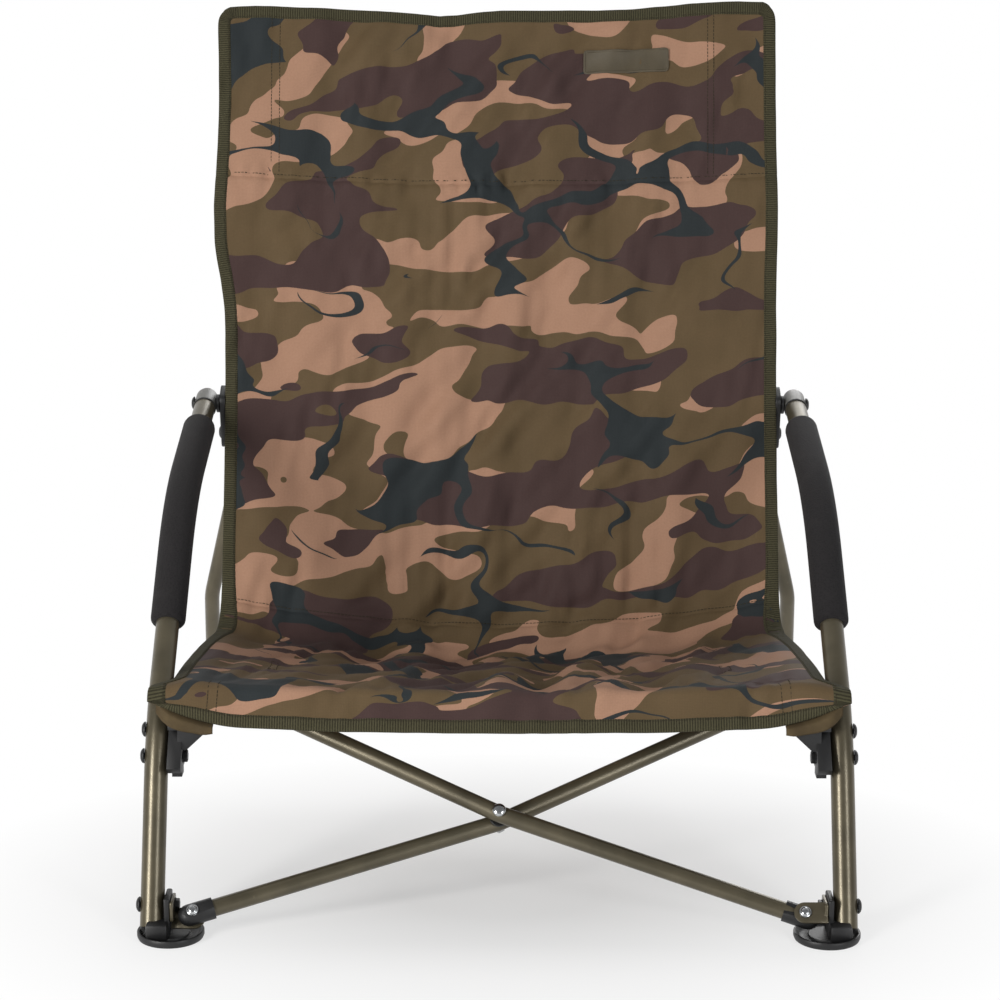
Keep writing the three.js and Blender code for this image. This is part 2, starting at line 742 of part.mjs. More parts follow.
// The upper end of a cross bar rests its pin in a notch below the rail, open up and back.
function railSaddle() {
  const pin = onCross(cross.endOut, cross.endRise, 0);
  const middle = railPointAt(pin.y);
  const half = railHeading.clone().multiplyScalar(saddle.halfLength);
  const [from, to] = [middle.clone().sub(half), middle.clone().add(half)];
  const shell = rod(saddle.radius, from, to, rail.sides * 2);
  const wing = box(
    new THREE.Vector3(saddle.wing, pin.y - saddle.halfLength, middle.z - saddle.drop),
    new THREE.Vector3(saddle.wingBack, pin.y + saddle.halfLength, middle.z),
  );
  const railRoom = drill(rail.radius + chair.clearance, from, to, rail.sides);
  const openTop = box(
    new THREE.Vector3(saddle.wing - overrun, from.y - saddle.radius, middle.z + rail.wall * 2),
    new THREE.Vector3(middle.x + saddle.radius * 2, to.y + saddle.radius, middle.z + saddle.radius * 3),
  );
  const notchRadius = pinCap.pinRadius + saddle.fit;
  const way = new THREE.Vector3(0, Math.cos(tilt), Math.sin(tilt));
  const notchInner = saddle.wing - overrun;
  const notchOuter = pinCap.reach + saddle.fit;
  const reach = saddle.drop * 2;
  const slots = [-cross.layer, cross.layer].map((layer) => {
    const low = onCross(0, cross.endRise, layer);
    const slot = box(
      new THREE.Vector3(notchInner, -notchRadius, 0),
      new THREE.Vector3(notchOuter, notchRadius, reach),
    );
    slot.applyQuaternion(new THREE.Quaternion().setFromUnitVectors(new THREE.Vector3(0, 0, 1), way));
    return slot.translate(0, low.y, low.z);
  });
  return { shell, wing, railRoom, openTop, slots };
}

function railSaddlePiece(layerSign) {
  const { shell, wing, railRoom, openTop } = railSaddle();
  const centre = onCross(0, cross.endRise, layerSign * cross.layer);
  const notchRadius = pinCap.pinRadius + saddle.fit;
  const from = new THREE.Vector3(saddle.wing - overrun, centre.y, centre.z);
  const to = from.clone().setX(pinCap.reach + saddle.fit);
  const seat = rod(holeRadius(notchRadius, bolt.sides), from, to, bolt.sides);
  const slot = railSaddle().slots[layerSign < 0 ? 0 : 1];
  return cut(join(shell, wing), railRoom, openTop, seat, slot);
}

function rearFootMoulding() {
  const centre = place(rearLegRoute.foot.out, chair.footSpan, 0);
  const heading = rearLegStations.at(-2).clone().sub(rearLegFoot).normalize();
  const reach = (rearFoot.socketTop - rearLegRoute.foot.up) / heading.z;
  const top = rearLegFoot.clone().addScaledVector(heading, reach);
  const low = rearLegFoot.clone().addScaledVector(heading, -rearFoot.floor / 2);
  const dish = footDish(rearFoot, rearFoot.socketRadius + rearFoot.rimWall, rearFoot.floor, centre);
  const socket = rod(rearFoot.socketRadius, low, top, poleTube.sides);
  const seat = rearLegFoot.clone().addScaledVector(heading, -chair.clearance);
  const room = rod(
    holeRadius(poleTube.radius + chair.clearance, poleTube.sides),
    seat,
    top.clone().addScaledVector(heading, overrun),
    poleTube.sides,
  );
  const ground = box(
    new THREE.Vector3(centre.x - frontFoot.radius * 2, centre.y - frontFoot.radius * 2, -rearFoot.socketTop),
    new THREE.Vector3(centre.x + frontFoot.radius * 2, centre.y + frontFoot.radius * 2, 0),
  );
  return cut(join(dish, socket), room, ground);
}

// The pocket behind each pole's top, sewn to the sling on both sides of the pole.
function polePocket() {
  const inside = poleTube.radius + pocket.fit;
  const outside = inside + pocket.wall;
  const outerReach = chair.poleOut - pocket.inner;
  const innerReach = outerReach - pocket.wall * 1.5;
  const arc = (radius, reach) =>
    Array.from({ length: pocket.sides + 1 }, (_, i) => {
      const angle = ((Math.PI - Math.acos(radius / reach)) * i) / pocket.sides;
      return new THREE.Vector2(radius * Math.cos(angle), radius * Math.sin(angle));
    });
  const shape = new THREE.Shape([
    new THREE.Vector2(outside, -pocket.outerFront),
    ...arc(outside, outerReach),
    new THREE.Vector2(-outerReach, 0),
    new THREE.Vector2(-outerReach, -pocket.innerFront),
    new THREE.Vector2(-innerReach, -pocket.innerFront),
    new THREE.Vector2(-innerReach, 0),
    ...arc(holeRadius(inside, pocket.sides * 2), innerReach).reverse(),
    new THREE.Vector2(inside, -pocket.outerFront),
  ]);
  const geometry = new THREE.ExtrudeGeometry(shape, { depth: pocket.length, bevelEnabled: false });
  geometry.rotateX(-chair.recline * degrees);
  const foot = polePoint(chair.slingTop - poleTube.topBelowHem).addScaledVector(poleHeading, -pocket.length);
  return geometry.translate(foot.x, foot.y, foot.z);
}

// Crossed bars
function crossBarStations(side) {
  const layer = side * cross.layer;
  const foot = onCross(side * cross.rivetOut, 0, -side * cross.footLayer);
  const middle = onCross(0, cross.boltRise, layer);
  const end = onCross(-side * cross.endOut, cross.endRise, layer);
  const start = foot.clone().addScaledVector(middle.clone().sub(foot).normalize(), ferrule.start);
  return { foot, end, route: bentRoute([start, middle, end], [cross.bend]) };
}

const centreTools = () => {
  const radius = bolt.radius + chair.clearance / 2;
  const reach = cross.layer + cross.radius;
  return drill(radius, onCross(0, cross.boltRise, -reach), onCross(0, cross.boltRise, reach), bolt.sides);
};

const crossBar = (side) => cut(tube(crossBarStations(side).route, cross), centreTools());

function lowerFerrule(side) {
  const { foot, route } = crossBarStations(side);
  const heading = route[1].clone().sub(route[0]).normalize();
  const quarter = Math.PI / 2;
  const steps = 5;
  const ball = Array.from({ length: steps + 1 }, (_, i) => {
    const angle = (i * quarter) / steps;
    return [ferrule.radius * Math.sin(angle), -ferrule.ball - ferrule.radius * Math.cos(angle)];
  });
  const profile = [[0, ball[0][1]], ...ball.slice(1), [ferrule.radius, ferrule.length], [0, ferrule.length]];
  const body = turned(profile, cross.sides + 2, heading, foot);
  const seat = foot.clone().addScaledVector(heading, ferrule.start - chair.clearance);
  const room = rod(
    holeRadius(cross.radius + chair.clearance, cross.sides),
    seat,
    foot.clone().addScaledVector(heading, ferrule.length + overrun),
    cross.sides,
  );
  const span = ferrule.length * 2;
  const flats = [-1, 1].map((way) => {
    const slab = box(new THREE.Vector3(-span, -span, 0), new THREE.Vector3(span, span, span));
    slab.translate(0, 0, ferrule.flat);
    if (way < 0) slab.rotateX(Math.PI);
    slab.rotateX(tilt);
    return slab.translate(foot.x, foot.y, foot.z);
  });
  const axle = drill(
    rivet.radius + chair.clearance / 2,
    foot.clone().addScaledVector(crossNormal, -ferrule.flat),
    foot.clone().addScaledVector(crossNormal, ferrule.flat),
    bolt.sides,
  );
  return cut(body, room, ...flats, axle);
}

function upperPinCap(side) {
  const { end, route } = crossBarStations(side);
  const heading = end.clone().sub(route.at(-2)).normalize();
  const inner = end.clone().addScaledVector(heading, -pinCap.length);
  const outer = end.clone().addScaledVector(heading, pinCap.end);
  const body = rod(pinCap.radius, inner, outer, cross.sides + 2);
  const room = rod(
    holeRadius(cross.radius + chair.clearance, cross.sides),
    inner.clone().addScaledVector(heading, -overrun),
    end.clone().addScaledVector(heading, chair.clearance),
    cross.sides,
  );
  const start = end.clone().addScaledVector(heading, pinCap.end * 0.6);
  const tip = start.clone().setX(-side * pinCap.reach);
  const [from, to] = [end.clone().setX(start.x), end.clone().setX(tip.x)];
  return join(cut(body, room), rod(pinCap.pinRadius, from, to, bolt.sides));
}

function crossBolt2() {
  const reach = cross.layer + cross.radius + chair.clearance;
  const dome = 0.62;
  const profile = [
    [0, -reach - bolt.nutHeight],
    [bolt.nut, -reach - bolt.nutHeight],
    [bolt.nut, -reach],
    [bolt.radius, -reach],
    [bolt.radius, reach],
    [centreBolt.head, reach],
    [centreBolt.head * dome, reach + centreBolt.headHeight],
    [0, reach + centreBolt.headHeight],
  ];
  return turned(profile, bolt.sides, crossNormal, onCross(0, cross.boltRise, 0));
}

function barWasher() {
  const half = cross.layer - cross.radius - centreBolt.washerGap;
  const from = onCross(0, cross.boltRise, -half);
  const to = onCross(0, cross.boltRise, half);
  return cut(rod(centreBolt.washer, from, to, rail.sides), centreTools());
}

// The sling: one cloth from the top hem down the back, round the crook and out to the front hem.
function slingEdge() {
  const lift = poleTube.radius + chair.clearance + sling.thickness / 2;
  const front = new THREE.Vector3(0, -Math.cos(chair.recline * degrees), Math.sin(chair.recline * degrees));
  const railTilt = Math.atan(rail.drop);
  const above = new THREE.Vector3(0, Math.sin(railTilt), Math.cos(railTilt));
  const topPole = polePoint(chair.slingTop - sling.thickness).addScaledVector(front, lift);
  const lowPole = elbowPoint.clone().addScaledVector(front, lift);
  const rearRail = elbowPoint.clone().addScaledVector(above, lift);
  const y = sling.frontBack + frontY;
  const z = rearRail.z + (y - rearRail.y) * backLean;
  topPole.x = 0;
  // The back's line meets the seat's line.
  const slope = (z - rearRail.z) / (y - rearRail.y);
  const cornerZ = (z + slope * (lowPole.y - poleRun * lowPole.z - y)) / (1 - slope * poleRun);
  const corner = new THREE.Vector3(0, lowPole.y + (cornerZ - lowPole.z) * poleRun, cornerZ);
  const nose = new THREE.Vector3(0, y, z);
  const hem = new THREE.Vector3(0, y - sling.thickness / 2, z - sling.hem);
  return { topPole, corner, nose, hem };
}

function slingRows() {
  const { topPole, corner, nose, hem } = slingEdge();
  const bends = bentRoute([topPole, corner, nose, hem], [sling.crook, sling.noseBend]);
  const rows = [];
  bends.forEach((point, i) => {
    if (i) {
      const last = bends[i - 1];
      const parts = Math.ceil(point.distanceTo(last) / sling.longestRow);
      const shares = Array.from({ length: parts - 1 }, (_, k) => (k + 1) / parts);
      const notches = [sling.notchRear, sling.notchFront]
        .map((back) => (back + frontY - last.y) / (point.y - last.y))
        .filter((share) => share > 0 && share < 1 && point.y < last.y);
      [...shares, ...notches].sort((a, b) => a - b).forEach((share) => rows.push(last.clone().lerp(point, share)));
    }
    rows.push(point.clone());
  });
  return rows;
}

function slingGeometry() {
  const rows = slingRows();
  const sums = lengths(rows);
  const { corner } = slingEdge();
  const crookIndex = rows.reduce((best, p, i) => (p.distanceTo(corner) < rows[best].distanceTo(corner) ? i : best), 0);
  const crookAt = sums[crookIndex];
  const total = sums.at(-1);
  const columnShares = [0, 0.17, 0.34, 0.51, 0.68, 0.84, 1];
  const smooth = (a, b, v) => THREE.MathUtils.smoothstep(v, a, b);
  const grid = rows.map((row, i) => {
    const back = row.y - frontY;
    const onBack = sums[i] < crookAt;
    const share = onBack ? sums[i] / crookAt : (sums[i] - crookAt) / (total - crookAt);
    const seatShare = onBack ? 0 : share;
    const railOut = onBack ? chair.poleOut : railPointAt(row.y).x;
    const swell = sling.swell * Math.exp(-(((row.z - sling.swellUp) / sling.swellReach) ** 2));
    const seatWidth = THREE.MathUtils.lerp(sling.halfWidth, sling.seatEdge, smooth(0, 0.75, seatShare));
    const flare = onBack ? 0 : 1 - smooth(sling.notchFront, sling.notchRear, back);
    const pinch = sling.pinch * Math.exp(-(((row.z - sling.pinchUp) / sling.pinchReach) ** 2));
    const backEdge = sling.halfWidth + swell - pinch;
    const edge = onBack ? backEdge : THREE.MathUtils.lerp(seatWidth, sling.cornerOut, flare);
    const edgeUp = row.z - sling.cornerDrop * flare;
    const lean = smooth(0.75, 1, onBack ? share : 1);
    const direction = new THREE.Vector3(0, 1 - lean, -lean - chair.recline * degrees * (1 - lean)).normalize();
    const backSag = THREE.MathUtils.lerp(sling.backSagTop, sling.backSag, Math.sin(Math.PI * 0.5 * share));
    const seatSag = THREE.MathUtils.lerp(sling.seatSag, sling.frontSag, seatShare);
    const sag = onBack ? backSag : seatSag;
    const foldWeight = smooth(0.35, 0.9, onBack ? share : 1 - seatShare);
    return [...columnShares.slice(1).map((s) => -s).reverse(), ...columnShares]
      .map((s) => {
        const hollow = 1 - s * s;
        const fold = sling.foldDepth * foldWeight * hollow * Math.cos(2 * Math.PI * sling.folds * s);
        const point = new THREE.Vector3(s * railOut, row.y, row.z);
        return point.addScaledVector(direction, sag * hollow + fold);
      })
      .flatMap((point, k, all) => {
        if (k === 0) return [new THREE.Vector3(-edge, row.y, edgeUp), point];
        if (k === all.length - 1) return [point, new THREE.Vector3(edge, row.y, edgeUp)];
        return [point];
      });
  });
  return thickSheet(grid, sling.thickness);
}

function thickSheet(grid, thickness) {
  const rows = grid.length;
  const columns = grid[0].length;
  const normals = grid.map((row, r) =>
    row.map((_, c) => {
      const along = grid[Math.min(rows - 1, r + 1)][c].clone().sub(grid[Math.max(0, r - 1)][c]);
      const across = row[Math.min(columns - 1, c + 1)].clone().sub(row[Math.max(0, c - 1)]);
      return along.cross(across).normalize();
    }),
  );
  const face = (way) =>
    grid.map((row, r) => row.map((p, c) => p.clone().addScaledVector(normals[r][c], (way * thickness) / 2)));
  // Each row becomes a ring: over the front face and back under the rear face.
  const [front, rear] = [face(1), face(-1)];
  const loops = front.map((row, r) => [...row, ...rear[r].slice().reverse()]);
  const sides = columns * 2;
  const positions = loops.flat().flatMap((p) => [p.x, p.y, p.z]);
  const index = [];
  for (let r = 0; r < rows - 1; r++)
    for (let s = 0; s < sides; s++) {
      const t = (s + 1) % sides;
      const [here, next] = [r * sides, (r + 1) * sides];
      index.push(here + s, next + s, next + t, here + s, next + t, here + t);
    }
  [0, rows - 1].forEach((r) => {
    for (let c = 0; c < columns - 1; c++) {
      const quad = [c, c + 1, sides - 2 - c, sides - 1 - c].map((k) => k + r * sides);
      const [a, b, d, e] = r ? [...quad].reverse() : quad;
      index.push(a, b, d, a, d, e);
    }
  });
  return new THREE.BufferGeometry()
    .setAttribute("position", new THREE.Float32BufferAttribute(positions, 3))
    .setIndex(index);
}

function badgePatch() {
  const half = { width: badge.width / 2, height: badge.height / 2 };
  const corners = [
    [-half.width, -half.height],
    [half.width, -half.height],
    [half.width, half.height],
    [-half.width, half.height],
  ];
  const shape = new THREE.Shape(rounded(corners, badge.corner, 3).map((p) => new THREE.Vector2(...p)));
  const patch = new THREE.ExtrudeGeometry(shape, { depth: badge.thickness, bevelEnabled: false });
  const { topPole, corner } = slingEdge();
  const down = corner.clone().sub(topPole).normalize();
  const share = badge.out / chair.poleOut;
  const distance = badge.fromTop;
  const reach = topPole.distanceTo(corner);
  const sagHere = THREE.MathUtils.lerp(sling.backSagTop, sling.backSag, Math.sin((Math.PI / 2) * (distance / reach)));
  const behind = sagHere * (1 - share * share);
  const lift = sling.thickness / 2 + badge.gap;
  const bulge = sagHere * (badge.width / 2 / chair.poleOut) * share;
  patch.rotateX(Math.PI / 2 - chair.recline * degrees);
  const bow = Math.atan((2 * sagHere * share) / chair.poleOut);
  patch.rotateZ(-bow);
  const centre = topPole.clone().addScaledVector(down, distance);
  const front = new THREE.Vector3(0, -Math.cos(chair.recline * degrees), Math.sin(chair.recline * degrees));
  centre.addScaledVector(front, -behind + lift + bulge);
  return patch.translate(badge.out, centre.y, centre.z);
}

// Assembly
const colours = {
  tube: [0x5b5647, 0.38, 0.6],
  plastic: [0x262626, 0.55, 0],
  foam: [0x2a2929, 0.9, 0],
  cap: [0x77766f, 0.5, 0],
  steel: [0xb9bbbd, 0.25, 0.9],
  cloth: [0x665940, 0.95, 0],
  tape: [0x43432f, 0.9, 0],
  rubber: [0x4a4a3c, 0.7, 0],
};

function piece(name, geometry, finish) {
  const [color, roughness, metalness] = colours[finish];
  const mesh = new THREE.Mesh(merged(geometry), new THREE.MeshStandardMaterial({ color, roughness, metalness }));
  mesh.name = name;
  mesh.geometry.computeVertexNormals();
  return mesh;
}

function sideFrame(prefix, layerSign) {
  const frame = new THREE.Group();
  const add = (name, geometry, finish) => frame.add(piece(prefix + "_" + name, geometry, finish));
  add("arm_tube", armTube(), "tube");
  add("foam_grip", foamGrip(), "foam");
  add("arm_end_cap", armEndCap(), "cap");
  add("pivot_spacer", spacer(), "plastic");
  add("back_bracket", backBracket(), "plastic");
  const poleInner = chair.poleOut - poleTube.radius - chair.clearance;
  add("pivot_bolt", crossBolt(pivot, poleInner, pivot.x + legTube.radius + chair.clearance), "plastic");
  add("rear_leg_bolt", crossBolt(legPivot, poleInner, plateOuter + chair.clearance), "plastic");
  add("back_pole", backPole(), "tube");
  add("pole_cap", poleTipCap(), "plastic");
  add("rear_leg", rearLeg(), "tube");
  add("rear_foot", rearFootMoulding(), "plastic");
  add("front_foot", frontFootMoulding(), "plastic");
  const flangeInner = footCheek.inner - clevis.flange - chair.clearance * 2;
  const footOuter = pointAtHeight(armStations, footBolt.up).x + legTube.radius + chair.clearance;
  add("foot_bolt", crossBolt(footBoltPoint, flangeInner, footOuter), "plastic");
  add("foot_clevis", footClevis(layerSign), "tube");
  add("clevis_rivet", clevisRivet(layerSign), "steel");
  add("leg_bracket", legBracketMoulding(), "plastic");
  bracketBoltPoints.forEach((point, i) => {
    const geometry = crossBolt(point, legBracket.inner - chair.clearance, legOuter(point) + chair.clearance);
    add(["lower", "upper"][i] + "_bracket_bolt", geometry, "plastic");
  });
  add("seat_rail", seatRail(), "tube");
  add("seat_elbow", seatElbow(), "plastic");
  add("rail_saddle", railSaddlePiece(-layerSign), "plastic");
  add("pole_pocket", polePocket(), "cloth");
  return frame;
}

const chairGroup = new THREE.Group();
const rightFrame = sideFrame("right", 1);
const leftFrame = sideFrame("left", -1);
leftFrame.scale.x = -1;
chairGroup.add(leftFrame, rightFrame);
[
  ["front", 1],
  ["rear", -1],
].forEach(([name, side]) => {
  chairGroup.add(piece(name + "_cross_bar", crossBar(side), "tube"));
  chairGroup.add(piece(name + "_lower_ferrule", lowerFerrule(side), "plastic"));
  chairGroup.add(piece(name + "_upper_pin_cap", upperPinCap(side), "plastic"));
});
chairGroup.add(piece("centre_bolt", crossBolt2(), "steel"));
chairGroup.add(piece("bar_washer", barWasher(), "plastic"));
chairGroup.add(piece("seat_sling", slingGeometry(), "cloth"));
chairGroup.add(piece("badge_patch", badgePatch(), "rubber"));

export default chairGroup;
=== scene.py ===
import math

import bpy
import numpy as np
from mathutils import Matrix, Vector


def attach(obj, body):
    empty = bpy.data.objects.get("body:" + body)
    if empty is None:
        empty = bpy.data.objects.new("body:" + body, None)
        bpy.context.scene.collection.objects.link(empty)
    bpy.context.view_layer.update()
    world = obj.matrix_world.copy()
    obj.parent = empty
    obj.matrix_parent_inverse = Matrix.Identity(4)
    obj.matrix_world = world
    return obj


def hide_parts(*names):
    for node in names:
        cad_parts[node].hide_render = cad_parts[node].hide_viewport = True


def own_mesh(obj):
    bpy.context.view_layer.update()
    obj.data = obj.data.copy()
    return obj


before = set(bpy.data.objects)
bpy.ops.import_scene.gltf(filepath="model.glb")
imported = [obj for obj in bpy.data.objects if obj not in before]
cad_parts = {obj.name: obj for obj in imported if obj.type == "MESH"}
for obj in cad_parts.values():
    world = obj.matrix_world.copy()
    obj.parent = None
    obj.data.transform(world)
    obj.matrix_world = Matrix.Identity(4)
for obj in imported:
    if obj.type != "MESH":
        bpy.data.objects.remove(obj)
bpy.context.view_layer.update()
print("frame loaded:", len(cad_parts), "nodes")

mm = 0.001
frontY = -0.31725  # the front feet's place, from the chair's middle
sides = {"left": -1, "right": 1}


# Small helpers

def pickOnly(piece):
    bpy.ops.object.select_all(action="DESELECT")
    piece.select_set(True)
    bpy.context.view_layer.objects.active = piece


def newObject(name, data):
    piece = bpy.data.objects.new(name, data)
    bpy.context.scene.collection.objects.link(piece)
    pickOnly(piece)
    return piece


def settle(piece):
    # the place goes into the mesh, and the object stays at the origin
    pickOnly(piece)
    bpy.ops.object.transform_apply(location=True, rotation=True, scale=True)


def editAll(piece):
    pickOnly(piece)
    bpy.ops.object.mode_set(mode="EDIT")
    bpy.ops.mesh.select_all(action="SELECT")


def cleanMesh(piece, mergeWithin=1e-6):
    editAll(piece)
    bpy.ops.mesh.remove_doubles(threshold=mergeWithin)
    bpy.ops.mesh.normals_make_consistent(inside=False)
    bpy.ops.object.mode_set(mode="OBJECT")


def applyModifiers(piece):
    pickOnly(piece)
    for modifier in list(piece.modifiers):
        bpy.ops.object.modifier_apply(modifier=modifier.name)


def softenEdges(piece, width, segments=2, angle=30):
    bevel = piece.modifiers.new("softEdges", "BEVEL")
    bevel.width = width
    bevel.segments = segments
    bevel.limit_method = "ANGLE"
    bevel.angle_limit = math.radians(angle)
    applyModifiers(piece)


def smoothByAngle(piece, angle=35):
    pickOnly(piece)
    bpy.ops.object.shade_smooth_by_angle(angle=math.radians(angle))


def uniteWith(piece, others):
    for other in others:
        union = piece.modifiers.new("union", "BOOLEAN")
        union.operation = "UNION"
        union.solver = "EXACT"
        union.object = other
        applyModifiers(piece)
        bpy.data.objects.remove(other)


def joinInto(piece, others):
    pickOnly(piece)
    for other in others:
        other.select_set(True)
    bpy.ops.object.join()


def hand(piece, body, material, slot, *nodes):
    piece.data.materials.clear()
    piece.data.materials.append(material)
    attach(piece, body)
    if nodes:
        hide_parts(*nodes)
    return piece


def bentRoute(corners, bends, stepAngle=3):
    # straight runs between the corners, with an arc of the bend's radius at each inner one
    points = [Vector(corners[0])]
    for before, here, after, radius in zip(corners, corners[1:], corners[2:], bends):
        inward = (Vector(here) - Vector(before)).normalized()
        onward = (Vector(after) - Vector(here)).normalized()
        turn = inward.angle(onward)
        start = Vector(here) - inward * radius * math.tan(turn / 2)
        centre = Vector(here) + (onward - inward).normalized() * radius / math.cos(turn / 2)
        spoke = start - centre
        steps = max(2, math.ceil(math.degrees(turn) / stepAngle))
        for k in range(steps + 1):
            angle = turn * k / steps
            points.append(centre + spoke * math.cos(angle) + inward * radius * math.sin(angle))
    points.append(Vector(corners[-1]))
    return points


def lengthsAlong(points):
    sums = [0.0]
    for before, here in zip(points, points[1:]):
        sums.append(sums[-1] + (here - before).length)
    return sums


def pointAlong(points, distance):
    sums = lengthsAlong(points)
    i = 1
    while i < len(points) - 1 and sums[i] < distance:
        i += 1
    share = (distance - sums[i - 1]) / (sums[i] - sums[i - 1])
    return points[i - 1].lerp(points[i], share)


def sweptRod(name, points, radius, radii=None, ringSteps=10):
    # a bevelled curve turned to mesh: the tube as bent over its former
    curve = bpy.data.curves.new(name, "CURVE")
    curve.dimensions = "3D"
    curve.bevel_depth = radius
    curve.bevel_resolution = ringSteps
    curve.use_fill_caps = True
    spline = curve.splines.new("POLY")
    spline.points.add(len(points) - 1)
    for spot, point, size in zip(spline.points, points, radii or [radius] * len(points)):
        spot.co = (*point, 1)
        spot.radius = size / radius
    piece = newObject(name, curve)
    bpy.ops.object.convert(target="MESH")
    cleanMesh(piece)
    smoothByAngle(piece, 40)
    return piece


def turnedPiece(name, profile, origin, heading, faces=48):
    # profile is radius and height in mm, from the bottom face to the top one
    bpy.ops.object.select_all(action="DESELECT")
    before = first = profile[0]
    bpy.ops.mesh.primitive_circle_add(vertices=faces, radius=first[0] * mm, fill_type="NGON",
                                      location=(0, 0, 0), enter_editmode=True)
    piece = bpy.context.object
    piece.name = name
    for radius, height in profile[1:]:
        bpy.ops.mesh.extrude_region_move(TRANSFORM_OT_translate={"value": (0, 0, (height - before[1]) * mm)})
        share = radius / before[0]
        bpy.ops.transform.resize(value=(share, share, 1))
        before = (radius, height)
    bpy.ops.object.mode_set(mode="OBJECT")
    cleanMesh(piece, 1e-7)
    turn = Vector((0, 0, 1)).rotation_difference(Vector(heading).normalized())
    start = Vector(origin) + Vector(heading).normalized() * first[1] * mm
    piece.matrix_world = Matrix.Translation(start) @ turn.to_matrix().to_4x4()
    settle(piece)
    smoothByAngle(piece)
    return piece


def boxPiece(name, size, middle):
    bpy.ops.object.select_all(action="DESELECT")
    bpy.ops.mesh.primitive_cube_add(size=1, location=middle, scale=size)
    piece = bpy.context.object
    piece.name = name
    settle(piece)
    return piece


def refinedCopy(name, node, soft, segments=2, smoothAngle=35):
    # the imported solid's own outline, with its faces made whole and its edges rounded as moulded
    piece = newObject(name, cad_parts[node].data.copy())
    bpy.ops.mesh.customdata_custom_splitnormals_clear()
    editAll(piece)
    bpy.ops.mesh.remove_doubles(threshold=2e-6)
    bpy.ops.mesh.dissolve_limited(angle_limit=math.radians(1.5))
    bpy.ops.object.mode_set(mode="OBJECT")
    softenEdges(piece, soft * mm, segments, 28)
    smoothByAngle(piece, smoothAngle)
    return piece


# Materials

def hexColour(code):
    values = [int(code[i:i + 2], 16) / 255 for i in (1, 3, 5)]
    return (*[v / 12.92 if v <= 0.04045 else ((v + 0.055) / 1.055) ** 2.4 for v in values], 1.0)


def addNode(tree, kind, *inputs, **settings):
    # inputs fill the live sockets in order; a setting is a property, or a socket named without its spaces;
    # a node or an output is linked, and any other value is set
    node = tree.nodes.new("ShaderNode" + kind)
    if kind == "Mix":
        node.data_type = "RGBA"
    for key in [key for key in settings if hasattr(node, key)]:
        setattr(node, key, settings.pop(key))
    live = [socket for socket in node.inputs if socket.enabled]
    named = {socket.name.replace(" ", ""): socket for socket in live}
    for socket, value in [*zip(live, inputs), *((named[key], value) for key, value in settings.items())]:
        if isinstance(value, bpy.types.Node):
            value = next(output for output in value.outputs if output.enabled)
        if isinstance(value, bpy.types.NodeSocket):
            tree.links.new(value, socket)
        else:
            socket.default_value = value
    return node


def newMaterial(name, onCloth=False):
    # a pattern's place is the piece's own coordinates, or its flat place on the cloth
    material = bpy.data.materials.new(name)
    material.use_nodes = True
    tree = material.node_tree
    tree.nodes.clear()
    place = addNode(tree, "UVMap", uv_map="cloth") if onCloth else addNode(tree, "TexCoord").outputs["Object"]
    return material, tree, place


def perMm(size):
    return 1 / (size * mm)


waveRepeat = 0.314  # a wave texture of scale 1 repeats each 0.314 m

# powder-coated steel tube: satin olive bronze, faint orange peel and a few rub marks
tubeLook = {"colour": "#5f5847", "dark": "#514b3c", "rubbed": "#756d5b", "roughness": (0.28, 0.38),
            "metallic": 0.55, "peelMm": 1.6, "mottleMm": 34, "rubMm": 9}


def coatedSteel():
    material, tree, place = newMaterial("powderCoatedSteel")
    look = tubeLook
    cloud = addNode(tree, "TexNoise", place, Scale=perMm(look["mottleMm"]), Detail=3)
    mottle = addNode(tree, "MapRange", cloud, 0.35, 0.65)
    colour = addNode(tree, "Mix", mottle, hexColour(look["dark"]), hexColour(look["colour"]))
    marks = addNode(tree, "TexNoise", place, Scale=perMm(look["rubMm"]), Detail=5, Roughness=0.65)
    rub = addNode(tree, "MapRange", marks, 0.66, 0.74, 0, 0.35)
    peel = addNode(tree, "TexNoise", place, Scale=perMm(look["peelMm"]), Detail=1)
    base = addNode(tree, "Mix", rub, colour, hexColour(look["rubbed"]))
    gloss = addNode(tree, "MapRange", peel, 0.2, 0.8, *look["roughness"])
    bump = addNode(tree, "Bump", 0.5, 0.05 * mm, Height=peel)
    shader = addNode(tree, "BsdfPrincipled", BaseColor=base, Metallic=look["metallic"], Roughness=gloss,
                     CoatWeight=0.12, CoatRoughness=0.25, Normal=bump)
    addNode(tree, "OutputMaterial", shader)
    return material


# closed-cell foam sleeve: matt black with fine open pores and a few scuffs
foamLook = {"colour": "#211f20", "pore": "#121112", "scuff": "#2b2929", "grainMm": 0.9, "scuffMm": 26,
            "poreMm": 1.8}  # real pores are half a millimetre and would not show, so they are drawn coarser


def cellFoam():
    material, tree, place = newMaterial("closedCellFoam")
    look = foamLook
    pores = addNode(tree, "TexVoronoi", place, Scale=perMm(look["poreMm"]))
    grain = addNode(tree, "TexNoise", place, Scale=perMm(look["grainMm"]))
    open = addNode(tree, "MapRange", pores, 0.1, 0.45)
    colour = addNode(tree, "Mix", open, hexColour(look["pore"]), hexColour(look["colour"]))
    marks = addNode(tree, "TexNoise", place, Scale=perMm(look["scuffMm"]), Detail=4, Roughness=0.6)
    scuffs = addNode(tree, "MapRange", marks, 0.55, 0.75, 0, 0.5)
    height = addNode(tree, "Math", pores, grain, operation="ADD")
    base = addNode(tree, "Mix", scuffs, colour, hexColour(look["scuff"]))
    bump = addNode(tree, "Bump", 0.6, 0.35 * mm, Height=height)
    shader = addNode(tree, "BsdfPrincipled", BaseColor=base, Roughness=0.9, SheenWeight=0.05,
                     SheenRoughness=0.5, SpecularIORLevel=0.2, Normal=bump)
    addNode(tree, "OutputMaterial", shader)
    return material


